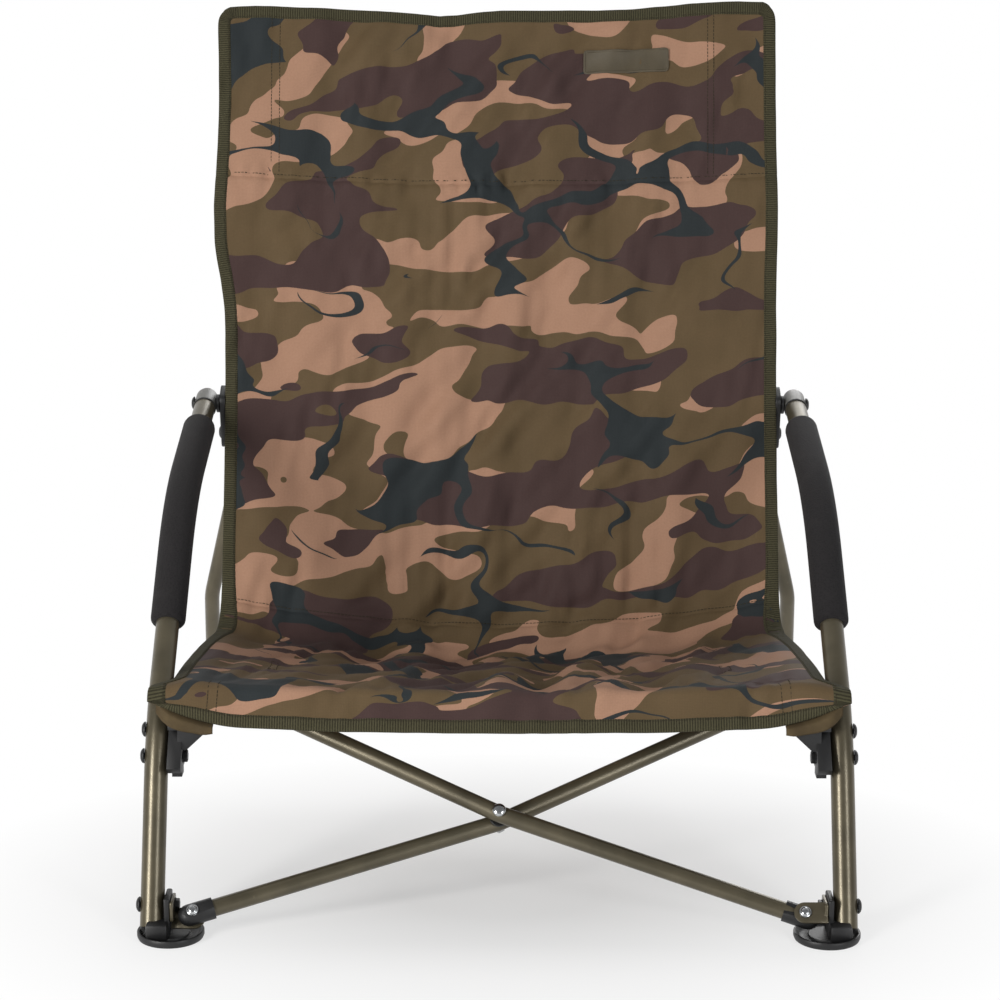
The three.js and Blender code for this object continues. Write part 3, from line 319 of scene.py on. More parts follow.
def mouldedPlastic(name, colour, light, roughness, grainMm=0.9):
    # cloudy at 18 mm, with the mould's fine spark grain
    material, tree, place = newMaterial(name)
    cloud = addNode(tree, "MapRange", addNode(tree, "TexNoise", place, Scale=perMm(18), Detail=3), 0.35, 0.7, 0, 0.6)
    grain = addNode(tree, "TexNoise", place, Scale=perMm(grainMm))
    base = addNode(tree, "Mix", cloud, hexColour(colour), hexColour(light))
    gloss = addNode(tree, "MapRange", grain, 0.2, 0.8, roughness - 0.08, roughness + 0.1)
    bump = addNode(tree, "Bump", 0.5, 0.06 * mm, Height=grain)
    shader = addNode(tree, "BsdfPrincipled", BaseColor=base, Roughness=gloss, SpecularIORLevel=0.45, Normal=bump)
    addNode(tree, "OutputMaterial", shader)
    return material


# zinc-plated and polished steel: bright, with faint turning marks
plateLook = {"colour": "#c9cbcd", "stain": "#a3a5a6", "stainMm": 3, "marksMm": 0.7}


def platedSteel():
    material, tree, place = newMaterial("platedSteel")
    look = plateLook
    stain = addNode(tree, "TexNoise", place, Scale=perMm(look["stainMm"]), Detail=3)
    stain = addNode(tree, "MapRange", stain, 0.35, 0.7)
    marks = addNode(tree, "TexNoise", place, Scale=perMm(look["marksMm"]))
    base = addNode(tree, "Mix", stain, hexColour(look["colour"]), hexColour(look["stain"]))
    gloss = addNode(tree, "MapRange", marks, 0.2, 0.8, 0.14, 0.3)
    bump = addNode(tree, "Bump", 0.3, 0.02 * mm, Height=marks)
    shader = addNode(tree, "BsdfPrincipled", BaseColor=base, Metallic=1, Roughness=gloss, Normal=bump)
    addNode(tree, "OutputMaterial", shader)
    return material


# woven polyester with a printed woodland pattern: four flat dyes with clean edges, over a plain weave
camoLook = {
    "olive": "#5c4b34", "oliveDeep": "#4d3f29", "tan": "#9c7862", "plum": "#41302e", "pine": "#262b2d",
    "threadMm": 1.5,  # real threads are 0.3 mm, drawn coarse enough to show
    "shapeMm": 132, "warpMm": 54, "warp": 0.06, "turn": math.radians(27), "stretch": (0.82, 1.25, 1),
    # blotches of a dye: offset, stretch and turn of the noise, its size's share of a shape, its cut
    "blotches": [("tan", (0.31, 0.12, 0.4), (0.9, 1.35, 1), 0.5, 0.62, 0.553),
                 ("plum", (1.37, 2.21, 1.3), (0.85, 1.3, 1), -0.35, 0.66, 0.557)],
    # branches run where a noise crosses its middle, as wide as a second noise allows
    "branch": {"offset": (3.1, 1.7, 2.2), "turn": 0.9, "share": 0.72, "widthShare": 0.8, "width": 0.05},
}


def camoCloth(name, shift):
    material, tree, flat = newMaterial(name, onCloth=True)
    look = camoLook
    moved = addNode(tree, "Mapping", flat, (shift, shift * 0.7, 0), (0, 0, look["turn"]), look["stretch"])
    push = addNode(tree, "TexNoise", moved, Scale=perMm(look["warpMm"]), Detail=1, Roughness=0.4).outputs["Color"]
    push = addNode(tree, "VectorMath", push, (0.5, 0.5, 0.5), operation="SUBTRACT")
    push = addNode(tree, "VectorMath", push, look["warp"], operation="SCALE")
    warped = addNode(tree, "VectorMath", moved, push, operation="ADD")
    tone = addNode(tree, "MapRange", addNode(tree, "TexNoise", flat, Scale=perMm(60)), 0.3, 0.7, 0, 0.5)
    colour = addNode(tree, "Mix", tone, hexColour(look["olive"]), hexColour(look["oliveDeep"]))
    for dye, offset, stretch, turn, share, cut in look["blotches"]:
        spot = addNode(tree, "Mapping", warped, offset, (0, 0, turn), stretch)
        value = addNode(tree, "TexNoise", spot, Scale=perMm(look["shapeMm"] * share), Detail=0.7, Roughness=0.35,
                        Distortion=0.4)
        inside = addNode(tree, "Math", value, cut, operation="GREATER_THAN")
        colour = addNode(tree, "Mix", inside, colour, hexColour(look[dye]))
    b = look["branch"]
    spot = addNode(tree, "Mapping", warped, b["offset"], (0, 0, b["turn"]))
    value = addNode(tree, "TexNoise", spot, Scale=perMm(look["shapeMm"] * b["share"]), Detail=0.6, Roughness=0.3)
    ridge = addNode(tree, "Math", addNode(tree, "Math", value, 0.5, operation="SUBTRACT"), operation="ABSOLUTE")
    where = addNode(tree, "TexNoise", spot, Scale=perMm(look["shapeMm"] * b["widthShare"]), Detail=0, Roughness=0.3)
    width = addNode(tree, "MapRange", where, 0.46, 0.68, 0, b["width"])
    inside = addNode(tree, "Math", ridge, width, operation="LESS_THAN")
    colour = addNode(tree, "Mix", inside, colour, hexColour(look["pine"]))
    warps, wefts = (addNode(tree, "TexWave", flat, bands_direction=axis, Scale=waveRepeat * perMm(look["threadMm"]),
                            Distortion=0.6, Detail=1, DetailScale=2).outputs["Fac"] for axis in "XY")
    weave = addNode(tree, "Math", warps, wefts, operation="MULTIPLY")
    slub = addNode(tree, "TexNoise", flat, Scale=perMm(2.2), Detail=3, Roughness=0.6)
    # the gaps between the threads are painted darker as shade, and the slub adds real uneven tone
    threadGapShadeAndSlub = addNode(tree, "Math", addNode(tree, "MapRange", weave, 0, 1, 0.93, 1.03),
                    addNode(tree, "MapRange", slub, 0.3, 0.7, -0.05, 0.05), operation="ADD")
    grey = addNode(tree, "CombineColor", threadGapShadeAndSlub, threadGapShadeAndSlub, threadGapShadeAndSlub)
    height = addNode(tree, "Math", weave, slub, operation="ADD")
    base = addNode(tree, "Mix", 1.0, colour, grey, blend_type="MULTIPLY")
    bump = addNode(tree, "Bump", 0.5, 0.12 * mm, Height=height)
    shader = addNode(tree, "BsdfPrincipled", BaseColor=base, Roughness=0.74, SheenWeight=0.02,
                     SheenRoughness=0.5, SpecularIORLevel=0.2, Normal=bump)
    addNode(tree, "OutputMaterial", shader)
    return material


# plain woven lining: the same polyester, undyed by the print and a little darker
liningLook = {"dark": "#3f3423", "light": "#52452f", "cloudMm": 22}


def plainCloth():
    material, tree, flat = newMaterial("wovenLiningCloth", onCloth=True)
    weave = addNode(tree, "TexNoise", flat, Scale=perMm(camoLook["threadMm"]))
    cloud = addNode(tree, "TexNoise", flat, Scale=perMm(liningLook["cloudMm"]), Detail=3)
    cloud = addNode(tree, "MapRange", cloud, 0.3, 0.7)
    base = addNode(tree, "Mix", cloud, hexColour(liningLook["dark"]), hexColour(liningLook["light"]))
    bump = addNode(tree, "Bump", 0.5, 0.12 * mm, Height=weave)
    shader = addNode(tree, "BsdfPrincipled", BaseColor=base, Roughness=0.8, SpecularIORLevel=0.2, Normal=bump)
    addNode(tree, "OutputMaterial", shader)
    return material


# ribbed polyester binding tape: dull olive, with painted shade in the grooves between its ribs; its ribs drawn twice
# as coarse as real ones so that they show
tapeLook = {"colour": "#474432", "groove": "#28251a", "ribMm": 2.4, "fuzzMm": 1.2}


def bindingTape():
    material, tree, flat = newMaterial("grosgrainTape", onCloth=True)
    look = tapeLook
    ribs = addNode(tree, "TexWave", flat, Scale=waveRepeat * perMm(look["ribMm"])).outputs["Fac"]
    fuzz = addNode(tree, "TexNoise", flat, Scale=perMm(look["fuzzMm"]), Detail=3, Roughness=0.6)
    fuzz = addNode(tree, "MapRange", fuzz, 0.3, 0.7, -0.25, 0.25)
    # the groove colour is painted shade, darker between the ribs, broken up by random fuzz
    grooveShadeAndFuzz = addNode(tree, "MapRange", addNode(tree, "Math", ribs, fuzz, operation="ADD"), 0, 0.8)
    base = addNode(tree, "Mix", grooveShadeAndFuzz, hexColour(look["groove"]), hexColour(look["colour"]))
    bump = addNode(tree, "Bump", 0.8, 0.35 * mm, Height=ribs)
    shader = addNode(tree, "BsdfPrincipled", BaseColor=base, Roughness=0.85, SheenWeight=0.02,
                     SheenRoughness=0.45, SpecularIORLevel=0.15, Normal=bump)
    addNode(tree, "OutputMaterial", shader)
    return material


# spun polyester sewing thread: dull, dark olive brown
threadLook = {"dark": "#26221a", "light": "#3d372a", "twistMm": 0.6}


def sewingThread():
    material, tree, place = newMaterial("sewingThread")
    twist = addNode(tree, "TexNoise", place, Scale=perMm(threadLook["twistMm"]))
    base = addNode(tree, "Mix", twist, hexColour(threadLook["dark"]), hexColour(threadLook["light"]))
    bump = addNode(tree, "Bump", 0.5, 0.05 * mm, Height=twist)
    shader = addNode(tree, "BsdfPrincipled", BaseColor=base, Roughness=0.85, SpecularIORLevel=0.15, Normal=bump)
    addNode(tree, "OutputMaterial", shader)
    return material


coat = coatedSteel()
foam = cellFoam()
nylon = mouldedPlastic("mouldedNylon", "#131314", "#1b1b1c", 0.46)  # glass-filled nylon: black, fine spark grain
capPlastic = mouldedPlastic("mouldedCapPlastic", "#5f5e5a", "#6c6b66", 0.42)  # grey polypropylene plug
ringRubber = mouldedPlastic("blackRubberRing", "#161616", "#1f1f1f", 0.6)  # soft seal ring, nearly black
patchRubber = mouldedPlastic("mouldedPatchRubber", "#453d2d", "#4f4635", 0.6, 1.2)  # soft rubber, dull olive
steel = platedSteel()
sewn = sewingThread()
tapeCloth = bindingTape()
slingCloth = camoCloth("printedPolyesterSling", 0.0)
liningCloth = plainCloth()
pocketCloth = camoCloth("printedPolyesterPocket", 0.83)
print("materials made")



# Side frames: tubes, foam, brackets, feet and bolts. Lengths in these settings are mm, out from the middle first

armTube = {
    "corners": [(315, -317.25, 9.5), (314.16, -247.25, 178), (311.74, -45.25, 344), (309, 182.75, 394.6)],
    "bends": [200, 280], "radius": 11,
}
# the sleeve's own ends are rounded: steps along the arm, and the radius at each
foamGrip = {"radius": 16.5, "startUp": 250, "endInset": 69, "endKeep": 8, "fill": 0.95,
            "rounding": [0, 0.6, 1.7, 3.2, 5.2], "roundRadii": [12.2, 13.9, 15.3, 16.2, 16.5]}
endCap = {"profile": [(11.1, -20.6), (11.4, -20.3), (11.4, 3.0), (11.2, 3.9), (10.8, 5.2), (9.7, 8.2),
                      (7.4, 10.6), (4.2, 11.8), (1.2, 12.1)],
          "ring": [(11.0, -22.9), (11.9, -22.7), (12.1, -21.7), (11.9, -20.7), (11.0, -20.5)]}
backPole = {"corners": [(279, 103.01, 170.51), (279, 297.39, 787)], "radius": 8,
            "plug": [(7.6, 0.1), (8, 0.5), (8, 1.6), (7.3, 2.5), (5.6, 3), (1, 3)]}
rearLeg = {"corners": [(278.82, 186.28, 364.89), (280.4, 209.99, 308.43), (315, 242.75, 165), (324, 322.75, 9)],
           "bends": [60, 60], "radius": 8}
seatRail = {"corners": [(290, -231.25, 207.8), (279.39, 87.54, 160.81)], "radius": 8}
pivotBush = {"profile": [(8.9, 0), (9.5, 0.5), (9.5, 2.9), (8.9, 3.4)], "place": (294.2, 172.99, 392.43)}
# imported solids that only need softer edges: the piece's ending, the edge's softness and segments
mouldings = {"back_bracket": ("plate", 1.0, 3), "seat_elbow": ("moulding", 0.8, 2),
             "rail_saddle": ("moulding", 0.7, 2), "leg_bracket": ("moulding", 0.8, 2)}
boltForm = {"shaft": 3, "nut": 5.8, "nutHeight": 4, "head": 7, "headHeight": 3.2, "socket": 2.4, "socketDepth": 1.8}
# the nut's face, then the place of the head's face
sideBolts = {"pivot": (270.6, (320.52, 172.99, 392.43)), "rear_leg": (270.6, (294.2, 188.99, 358.43)),
             "lower_bracket": (289.6, (325.77, -256.57, 152)), "upper_bracket": (289.6, (325.61, -243.2, 173)),
             "foot": (294.2, (326.3, -309.56, 28))}
frontFoot = {
    "place": (298, frontY / mm, 0),
    "dish": [(27.6, 0), (29.6, 0.6), (30.5, 2.8), (30.5, 6.2), (30.1, 7.0), (28.6, 7.0), (27.4, 6.2), (25.6, 3.4),
             (24.2, 2.6), (19.2, 2.6), (17.4, 3.2), (16.6, 4.4), (2, 4.4)],
    # a socket block and a cheek for the bolt: out, back, up, then the edge's softness and segments
    "blocks": {"socket": ((299, 319), (-19, 17), (2.2, 18), 2.6, 2),
               "cheek": ((297.8, 303.2), (-8, 20), (2.2, 39), 1.6, 3)},
}
rearFoot = {
    "place": (324, 322.75, 0),
    "dish": [(22.8, 0), (24.4, 0.5), (25, 2.4), (25, 5.4), (24.6, 6), (23.2, 6), (22.3, 5.4), (20.8, 3.2),
             (19.8, 2.6), (15.6, 2.6), (13.9, 3.6), (13.4, 6), (2, 6)],
    "socket": [(12.4, -2), (11.8, 6), (11.5, 26), (12.2, 28), (12.2, 31), (11.6, 31.8), (8.8, 31.8)],
}


def sidePoint(sign, point):
    return Vector((sign * point[0], point[1], point[2])) * mm


def bentTube(name, sign, facts, body, node):
    corners = [sidePoint(sign, corner) for corner in facts["corners"]]
    points = bentRoute(corners, [bend * mm for bend in facts.get("bends", [])])
    hand(sweptRod(name, points, facts["radius"] * mm), body, coat, "tube", node)
    return points


def softBlock(name, size, middle, soft, segments):
    piece = boxPiece(name, size, middle)
    softenEdges(piece, soft * mm, segments)
    return piece


def boltPiece(name, sign, inner, point):
    # a domed socket head outside, and a hexagon nut with a washer inside
    b = boltForm
    along = (sign, 0, 0)
    start = sidePoint(sign, (inner, *point[1:]))
    length = point[0] - inner
    top = length + b["headHeight"]
    floor = top - b["socketDepth"]
    head = [(1, 0), (1, 0.7), (0.93, 1.5), (0.72, 2.6)]
    shaft = turnedPiece(name, [
        (b["shaft"], -1), (b["shaft"], length), *((b["head"] * share, length + up) for share, up in head),
        (b["head"] * 0.5, top), (b["socket"], top), (b["socket"] * 0.9, floor), (0.4, floor)], start, along, 28)
    nut = turnedPiece(name + "_nut", [
        (b["nut"] * 0.9, -b["nutHeight"]), (b["nut"], 0.5 - b["nutHeight"]), (b["nut"], -0.2), (b["nut"] * 0.98, 0),
    ], start, along, 6)
    washer = turnedPiece(name + "_washer", [(b["nut"] * 1.12, -0.5), (b["nut"] * 1.12, -0.05)], start, along, 28)
    joinInto(shaft, [nut, washer])
    return shaft


def foamSleeve(name, arm):
    # it starts where the arm reaches its height
    g, sums = foamGrip, lengthsAlong(arm)
    i = next(k for k, point in enumerate(arm) if point.z >= g["startUp"] * mm)
    share = (g["startUp"] * mm - arm[i - 1].z) / (arm[i].z - arm[i - 1].z)
    start = sums[i - 1] + share * (sums[i] - sums[i - 1])
    end = sums[-1] - g["endInset"] * mm
    inner = [s for s in sums if start + g["endKeep"] * mm < s < end - g["endKeep"] * mm]
    steps, ends = [step * mm for step in g["rounding"]], [radius * mm for radius in g["roundRadii"]]
    marks = [start + step for step in steps] + inner + [end - step for step in reversed(steps)]
    radii = ends + [g["radius"] * mm] * len(inner) + ends[::-1]
    return sweptRod(name, [pointAlong(arm, mark) for mark in marks], g["radius"] * mm, radii, 14)


for side, sign in sides.items():
    body = side + "_frame"
    arm = bentTube(side + "_bent_arm_tube", sign, armTube, body, side + "_arm_tube")
    sleeve = hand(foamSleeve(side + "_foam_sleeve", arm), body, foam, "foam", side + "_foam_grip")
    heading = (arm[-1] - arm[-2]).normalized()
    cap = turnedPiece(side + "_domed_end_cap", endCap["profile"], arm[-1], heading)
    hand(cap, body, capPlastic, "cap", side + "_arm_end_cap")
    hand(turnedPiece(side + "_cap_seal_ring", endCap["ring"], arm[-1], heading), body, ringRubber, "plastic")

    bush = turnedPiece(side + "_pivot_bush", pivotBush["profile"], sidePoint(sign, pivotBush["place"]), (sign, 0, 0))
    hand(bush, body, nylon, "plastic", side + "_pivot_spacer")
    foot, top = bentTube(side + "_back_pole_tube", sign, backPole, body, side + "_back_pole")
    plug = turnedPiece(side + "_pole_plug", backPole["plug"], top, top - foot, 36)
    hand(plug, body, nylon, "plastic", side + "_pole_cap")
    bentTube(side + "_bent_rear_leg", sign, rearLeg, body, side + "_rear_leg")
    bentTube(side + "_seat_rail_tube", sign, seatRail, body, side + "_seat_rail")
    for node, (ending, soft, segments) in mouldings.items():
        piece = refinedCopy(f"{side}_{node}_{ending}", f"{side}_{node}", soft, segments)
        hand(piece, body, nylon, "plastic", f"{side}_{node}")
    for place, (inner, point) in sideBolts.items():
        screw = boltPiece(f"{side}_{place}_screw", sign, inner, point)
        hand(screw, body, nylon, "plastic", f"{side}_{place}_bolt")

    dish = turnedPiece(side + "_front_mud_foot", frontFoot["dish"], sidePoint(sign, frontFoot["place"]), (0, 0, 1), 72)
    blocks = []
    for name, (out, back, up, soft, segments) in frontFoot["blocks"].items():
        size = [(high - low) * mm for low, high in (out, back, up)]
        middle = Vector((sign * sum(out) / 2, sum(back) / 2 + frontY / mm, sum(up) / 2)) * mm
        blocks.append(softBlock(name, size, middle, soft, segments))
    uniteWith(dish, blocks)
    smoothByAngle(dish, 30)
    hand(dish, body, nylon, "plastic", side + "_front_foot")
    clevis = refinedCopy(side + "_foot_clevis_plate", side + "_foot_clevis", 0.5)
    hand(clevis, body, coat, "tube", side + "_foot_clevis")

    # rear foot: a smaller dish with a socket along the leg
    upper, low = (sidePoint(sign, corner) for corner in rearLeg["corners"][2:])
    dish = turnedPiece(side + "_rear_mud_foot", rearFoot["dish"], sidePoint(sign, rearFoot["place"]), (0, 0, 1), 64)
    uniteWith(dish, [turnedPiece("socket", rearFoot["socket"], low, (upper - low).normalized(), 40)])
    smoothByAngle(dish, 30)
    hand(dish, body, nylon, "plastic", side + "_rear_foot")
print("side frames made")


# Crossed bars, their ends, and the bolt between them

# both bars lie in planes tilted 45 degrees, a layer in front of and behind the crossing
crossBars = {"tilt": 45, "rivetUp": 21, "rivetOut": 277, "boltRise": 96.5, "endOut": 262, "endRise": 225,
             "layer": 9.3, "footLayer": 2, "radius": 8, "bend": 90, "startInset": 8, "clear": 0.4}
crossNormal = Vector((0, -math.sin(math.radians(crossBars["tilt"])), math.cos(math.radians(crossBars["tilt"]))))


def onCross(out, rise, layer):
    tilt = math.radians(crossBars["tilt"])
    flat = Vector((out, frontY / mm + rise * math.cos(tilt), crossBars["rivetUp"] + rise * math.sin(tilt)))
    return (flat + crossNormal * layer) * mm


for bar, way in (("front", 1), ("rear", -1)):
    c, body = crossBars, bar + "_bar"
    foot = onCross(way * c["rivetOut"], 0, -way * c["footLayer"])
    middle = onCross(0, c["boltRise"], way * c["layer"])
    end = onCross(-way * c["endOut"], c["endRise"], way * c["layer"])
    start = foot + (middle - foot).normalized() * c["startInset"] * mm
    tube = sweptRod(bar + "_bent_cross_tube", bentRoute([start, middle, end], [c["bend"] * mm]), c["radius"] * mm)
    hand(tube, body, coat, "tube", bar + "_cross_bar")
    ferrule = refinedCopy(bar + "_ferrule_moulding", bar + "_lower_ferrule", 0.7, 3, 50)
    hand(ferrule, body, nylon, "plastic", bar + "_lower_ferrule")
    pin = refinedCopy(bar + "_pin_cap_moulding", bar + "_upper_pin_cap", 0.6, 2, 50)
    hand(pin, body, nylon, "plastic", bar + "_upper_pin_cap")

# rivets through the clevis tab and the ferrule: a head in front, turned along the bars' plane, and one behind
rivet = {"shaft": 3, "ferrule": 8.6, "tab": 2.5,
         "head": [(5.6, 0), (5.7, 0.5), (5.5, 1.0), (4.7, 1.1), (4.2, 1.5), (3.9, 2.2), (3.1, 2.8), (1.6, 3.1),
                  (0.3, 3.1)]}
farFace = rivet["ferrule"] + crossBars["clear"] + crossBars["footLayer"]
tabFace = rivet["ferrule"] + crossBars["clear"] - crossBars["footLayer"] + rivet["tab"] + crossBars["clear"]
for side, sign in sides.items():
    start, axis = onCross(sign * crossBars["rivetOut"], 0, sign * tabFace), -crossNormal * sign
    length = tabFace + farFace
    shaft = turnedPiece(side + "_foot_rivet", [(rivet["shaft"], 0), (rivet["shaft"], length)], start, axis, 20)
    joinInto(shaft, [turnedPiece("frontHead", rivet["head"], start, -axis, 36),
                     turnedPiece("rearHead", rivet["head"], start + axis * length * mm, axis, 36)])
    hand(shaft, side + "_frame", steel, "steel", side + "_clevis_rivet")

centreBolt = {"shaft": 3, "head": [(6.3, 0), (6.4, 0.6), (6.1, 1.6), (5.2, 2.6), (3.6, 3.3), (1.6, 3.6), (0.4, 3.6)],
              "nut": [(5.2, -4), (5.8, -3.5), (5.8, -0.2), (5.7, 0)],
              "washer": [(8.1, -1), (8.5, -0.7), (8.5, 0.7), (8.1, 1)]}
reach = crossBars["layer"] + crossBars["radius"] + crossBars["clear"]
crossing = onCross(0, crossBars["boltRise"], 0)
bolt = turnedPiece("centre_dome_screw", [
    (centreBolt["shaft"], -reach), (centreBolt["shaft"], reach),
    *((radius, reach + up) for radius, up in centreBolt["head"])], crossing, crossNormal, 40)
nut = [(radius, up - reach) for radius, up in centreBolt["nut"]]
joinInto(bolt, [turnedPiece("centre_nut", nut, crossing, crossNormal, 6)])
hand(bolt, "rear_bar", steel, "steel", "centre_bolt")
washer = turnedPiece("centre_spacer_washer", centreBolt["washer"], crossing, crossNormal, 40)
hand(washer, "rear_bar", nylon, "plastic", "bar_washer")
print("crossed bars made")


# The sling: one printed cloth from the top hem down the back, round the crook and over the seat

# places behind the middle and up, in metres; v runs down the cloth, and x is out from the middle
sling = {
    "top": (0.28969, 0.79449), "crook": (0.09271, 0.16975), "crookBend": 0.05, "noseBend": 0.009,
    "topSag": (0.008 * 0.956, -0.008 * 0.292), "crookSag": (0.004, -0.031), "thickness": 0.0012, "columns": 124,
    # places of the nose and the hem, from the middle outwards
    "out": (0.0, 0.15, 0.25, 0.285, 0.3205),
    "noseY": (-0.239, -0.240, -0.244, -0.252, -0.2572), "noseZ": (0.2085, 0.2105, 0.2160, 0.2205, 0.2125),
    "hemY": (-0.2625, -0.2620, -0.2610, -0.2600, -0.2588), "hemZ": (0.1765, 0.1778, 0.1818, 0.1905, 0.2050),
    "topRound": 0.017, "hemRound": 0.018, "seamDown": 0.186, "seatSeamDown": 0.652,
}
# wrinkles: height in mm, then length across and along the cloth in mm
wrinkles = {"folds": (2.7, 3), "soft": (3.7, 75, 260), "slant": (3.0, 55, 95), "small": (1.9, 26, 64),
            "crook": (2.1, 150, 26), "pucker": (2.8, 13, 36), "pleat": (2.6, 24, 900),
            "patches": (130, 170), "bunches": (160, 900),  # where the small ones and the pleats come up
            "groove": (1.5, 0.0021),  # a seam's depth in mm and half its width
            "onRail": (0.262, 0.276), "railCalm": 0.85, "railLift": 1.4}


def softTable(xs, ys, spread=0.006):
    # a table of a profile with its corners rounded off
    fine = np.arange(0, 0.34, 0.001)
    values = np.interp(fine, xs, ys)
    offsets = np.arange(-20, 21) * 0.001
    weights = np.exp(-(offsets / spread) ** 2)
    weights /= weights.sum()
    padded = np.interp(np.abs(fine[:, None] + offsets[None, :]), fine, values)
    return fine, padded @ weights


noseY, noseZ, hemY, hemZ = (softTable(sling["out"], sling[key], 0.014) for key in ("noseY", "noseZ", "hemY", "hemZ"))
acrossHalf = np.linspace(0, 0.34, 341)
hollowTable = softTable(acrossHalf, np.clip(1 - (acrossHalf / 0.28) ** 2, 0, 1), 0.005)


def ripple(x, v, acrossMm, alongMm, seed):
    # a smooth uneven wave made of a few fixed sines
    total = 0
    for k, angle in enumerate((0.3, -0.45, 0.9, -0.2, 0.1, -1.1)):
        phase = seed * 1.7 + k * 2.399
        stretch = 0.75 + 0.17 * k
        total = total + np.sin(2 * math.pi * stretch * (x / (acrossMm * mm) * math.cos(angle)
                                                        + v / (alongMm * mm) * math.sin(angle + 0.6)) + phase)
    return total / 3.2


def smoothStep(low, high, value):
    share = np.clip((value - low) / (high - low), 0, 1)
    return share * share * (3 - 2 * share)


def unitOf(vectors):
    return vectors / np.linalg.norm(vectors, axis=-1, keepdims=True)


def runLengths(line):
    return np.concatenate([[0], np.cumsum(np.linalg.norm(np.diff(line, axis=0), axis=1))])


def eased(line, times):
    # the inner points are drawn towards their neighbours
    for _ in range(times):
        line[1:-1] = (line[:-2] + 2 * line[1:-1] + line[2:]) / 4
    return line


def columnPath(x):
    # one column's straight runs and two bends, seen from the side
    ax = np.abs(x)
    hollow = np.interp(ax, *hollowTable)
    top, crook = (np.stack([sling[key][k] + sling[key + "Sag"][k] * hollow for k in (0, 1)], -1)
                  for key in ("top", "crook"))
    nose = np.stack([np.interp(ax, *noseY), np.interp(ax, *noseZ)], -1)
    hem = np.stack([np.interp(ax, *hemY), np.interp(ax, *hemZ)], -1)
    d1, d2, d3 = unitOf(crook - top), unitOf(nose - crook), unitOf(hem - nose)
    turn1 = np.arccos(np.clip((d1 * d2).sum(-1), -1, 1))[..., None]
    turn2 = np.arccos(np.clip((d2 * d3).sum(-1), -1, 1))[..., None]
    r1, r2 = sling["crookBend"], sling["noseBend"]
    a1, b1 = crook - d1 * r1 * np.tan(turn1 / 2), crook + d2 * r1 * np.tan(turn1 / 2)
    a2, b2 = nose - d2 * r2 * np.tan(turn2 / 2), nose + d3 * r2 * np.tan(turn2 / 2)
    c1 = crook + unitOf(d2 - d1) * r1 / np.cos(turn1 / 2)
    c2 = nose + unitOf(d3 - d2) * r2 / np.cos(turn2 / 2)
    return top, a1, b1, a2, b2, hem, c1, c2, d1, d2, d3, turn1, turn2


def sectionLengths(x):
    top, a1, b1, a2, b2, hem, _, _, _, _, _, turn1, turn2 = columnPath(np.array([x]))
    spans = [np.linalg.norm(a1 - top), sling["crookBend"] * turn1[0, 0], np.linalg.norm(a2 - b1),
             sling["noseBend"] * turn2[0, 0], np.linalg.norm(hem - b2)]
    return np.concatenate([[0], np.cumsum(spans)])


marksDown = sectionLengths(0.0)
clothLength = float(marksDown[-1])
crookDown = float(marksDown[1] + marksDown[2]) / 2
seatFront = marksDown[3]
edgeFacts = {
    # half widths down the cloth, as the photograph shows them, left and right
    "down": (0.0, 0.03, 0.09, 0.15, 0.19, 0.22, 0.26, 0.28, 0.30, 0.33, 0.36, 0.44, 0.52, 0.62, 0.68, 0.80, 0.90),
    "left": (0.2985, 0.2980, 0.2965, 0.2975, 0.2995, 0.3010, 0.2998, 0.2970, 0.2930, 0.2890, 0.2875, 0.2870, 0.2875,
             0.2885, 0.2900, 0.2980, 0.3010),
    "right": (0.2888, 0.2888, 0.2888, 0.2892, 0.2902, 0.2908, 0.2902, 0.2895, 0.2888, 0.2885, 0.2885, 0.2880, 0.2885,
              0.2895, 0.2910, 0.2985, 0.3010),
}


def halfWidth(v, side):
    values = np.interp(v, edgeFacts["down"], edgeFacts[side])
    values = values + (sling["out"][-1] - values) * smoothStep(seatFront - 0.024, seatFront - 0.012, v)
    for radius, fromEnd in ((sling["topRound"], v), (sling["hemRound"], clothLength - v)):
        inside = np.clip(radius - fromEnd, 0, radius)
        values = values - (radius - np.sqrt(radius ** 2 - inside ** 2))
    return values


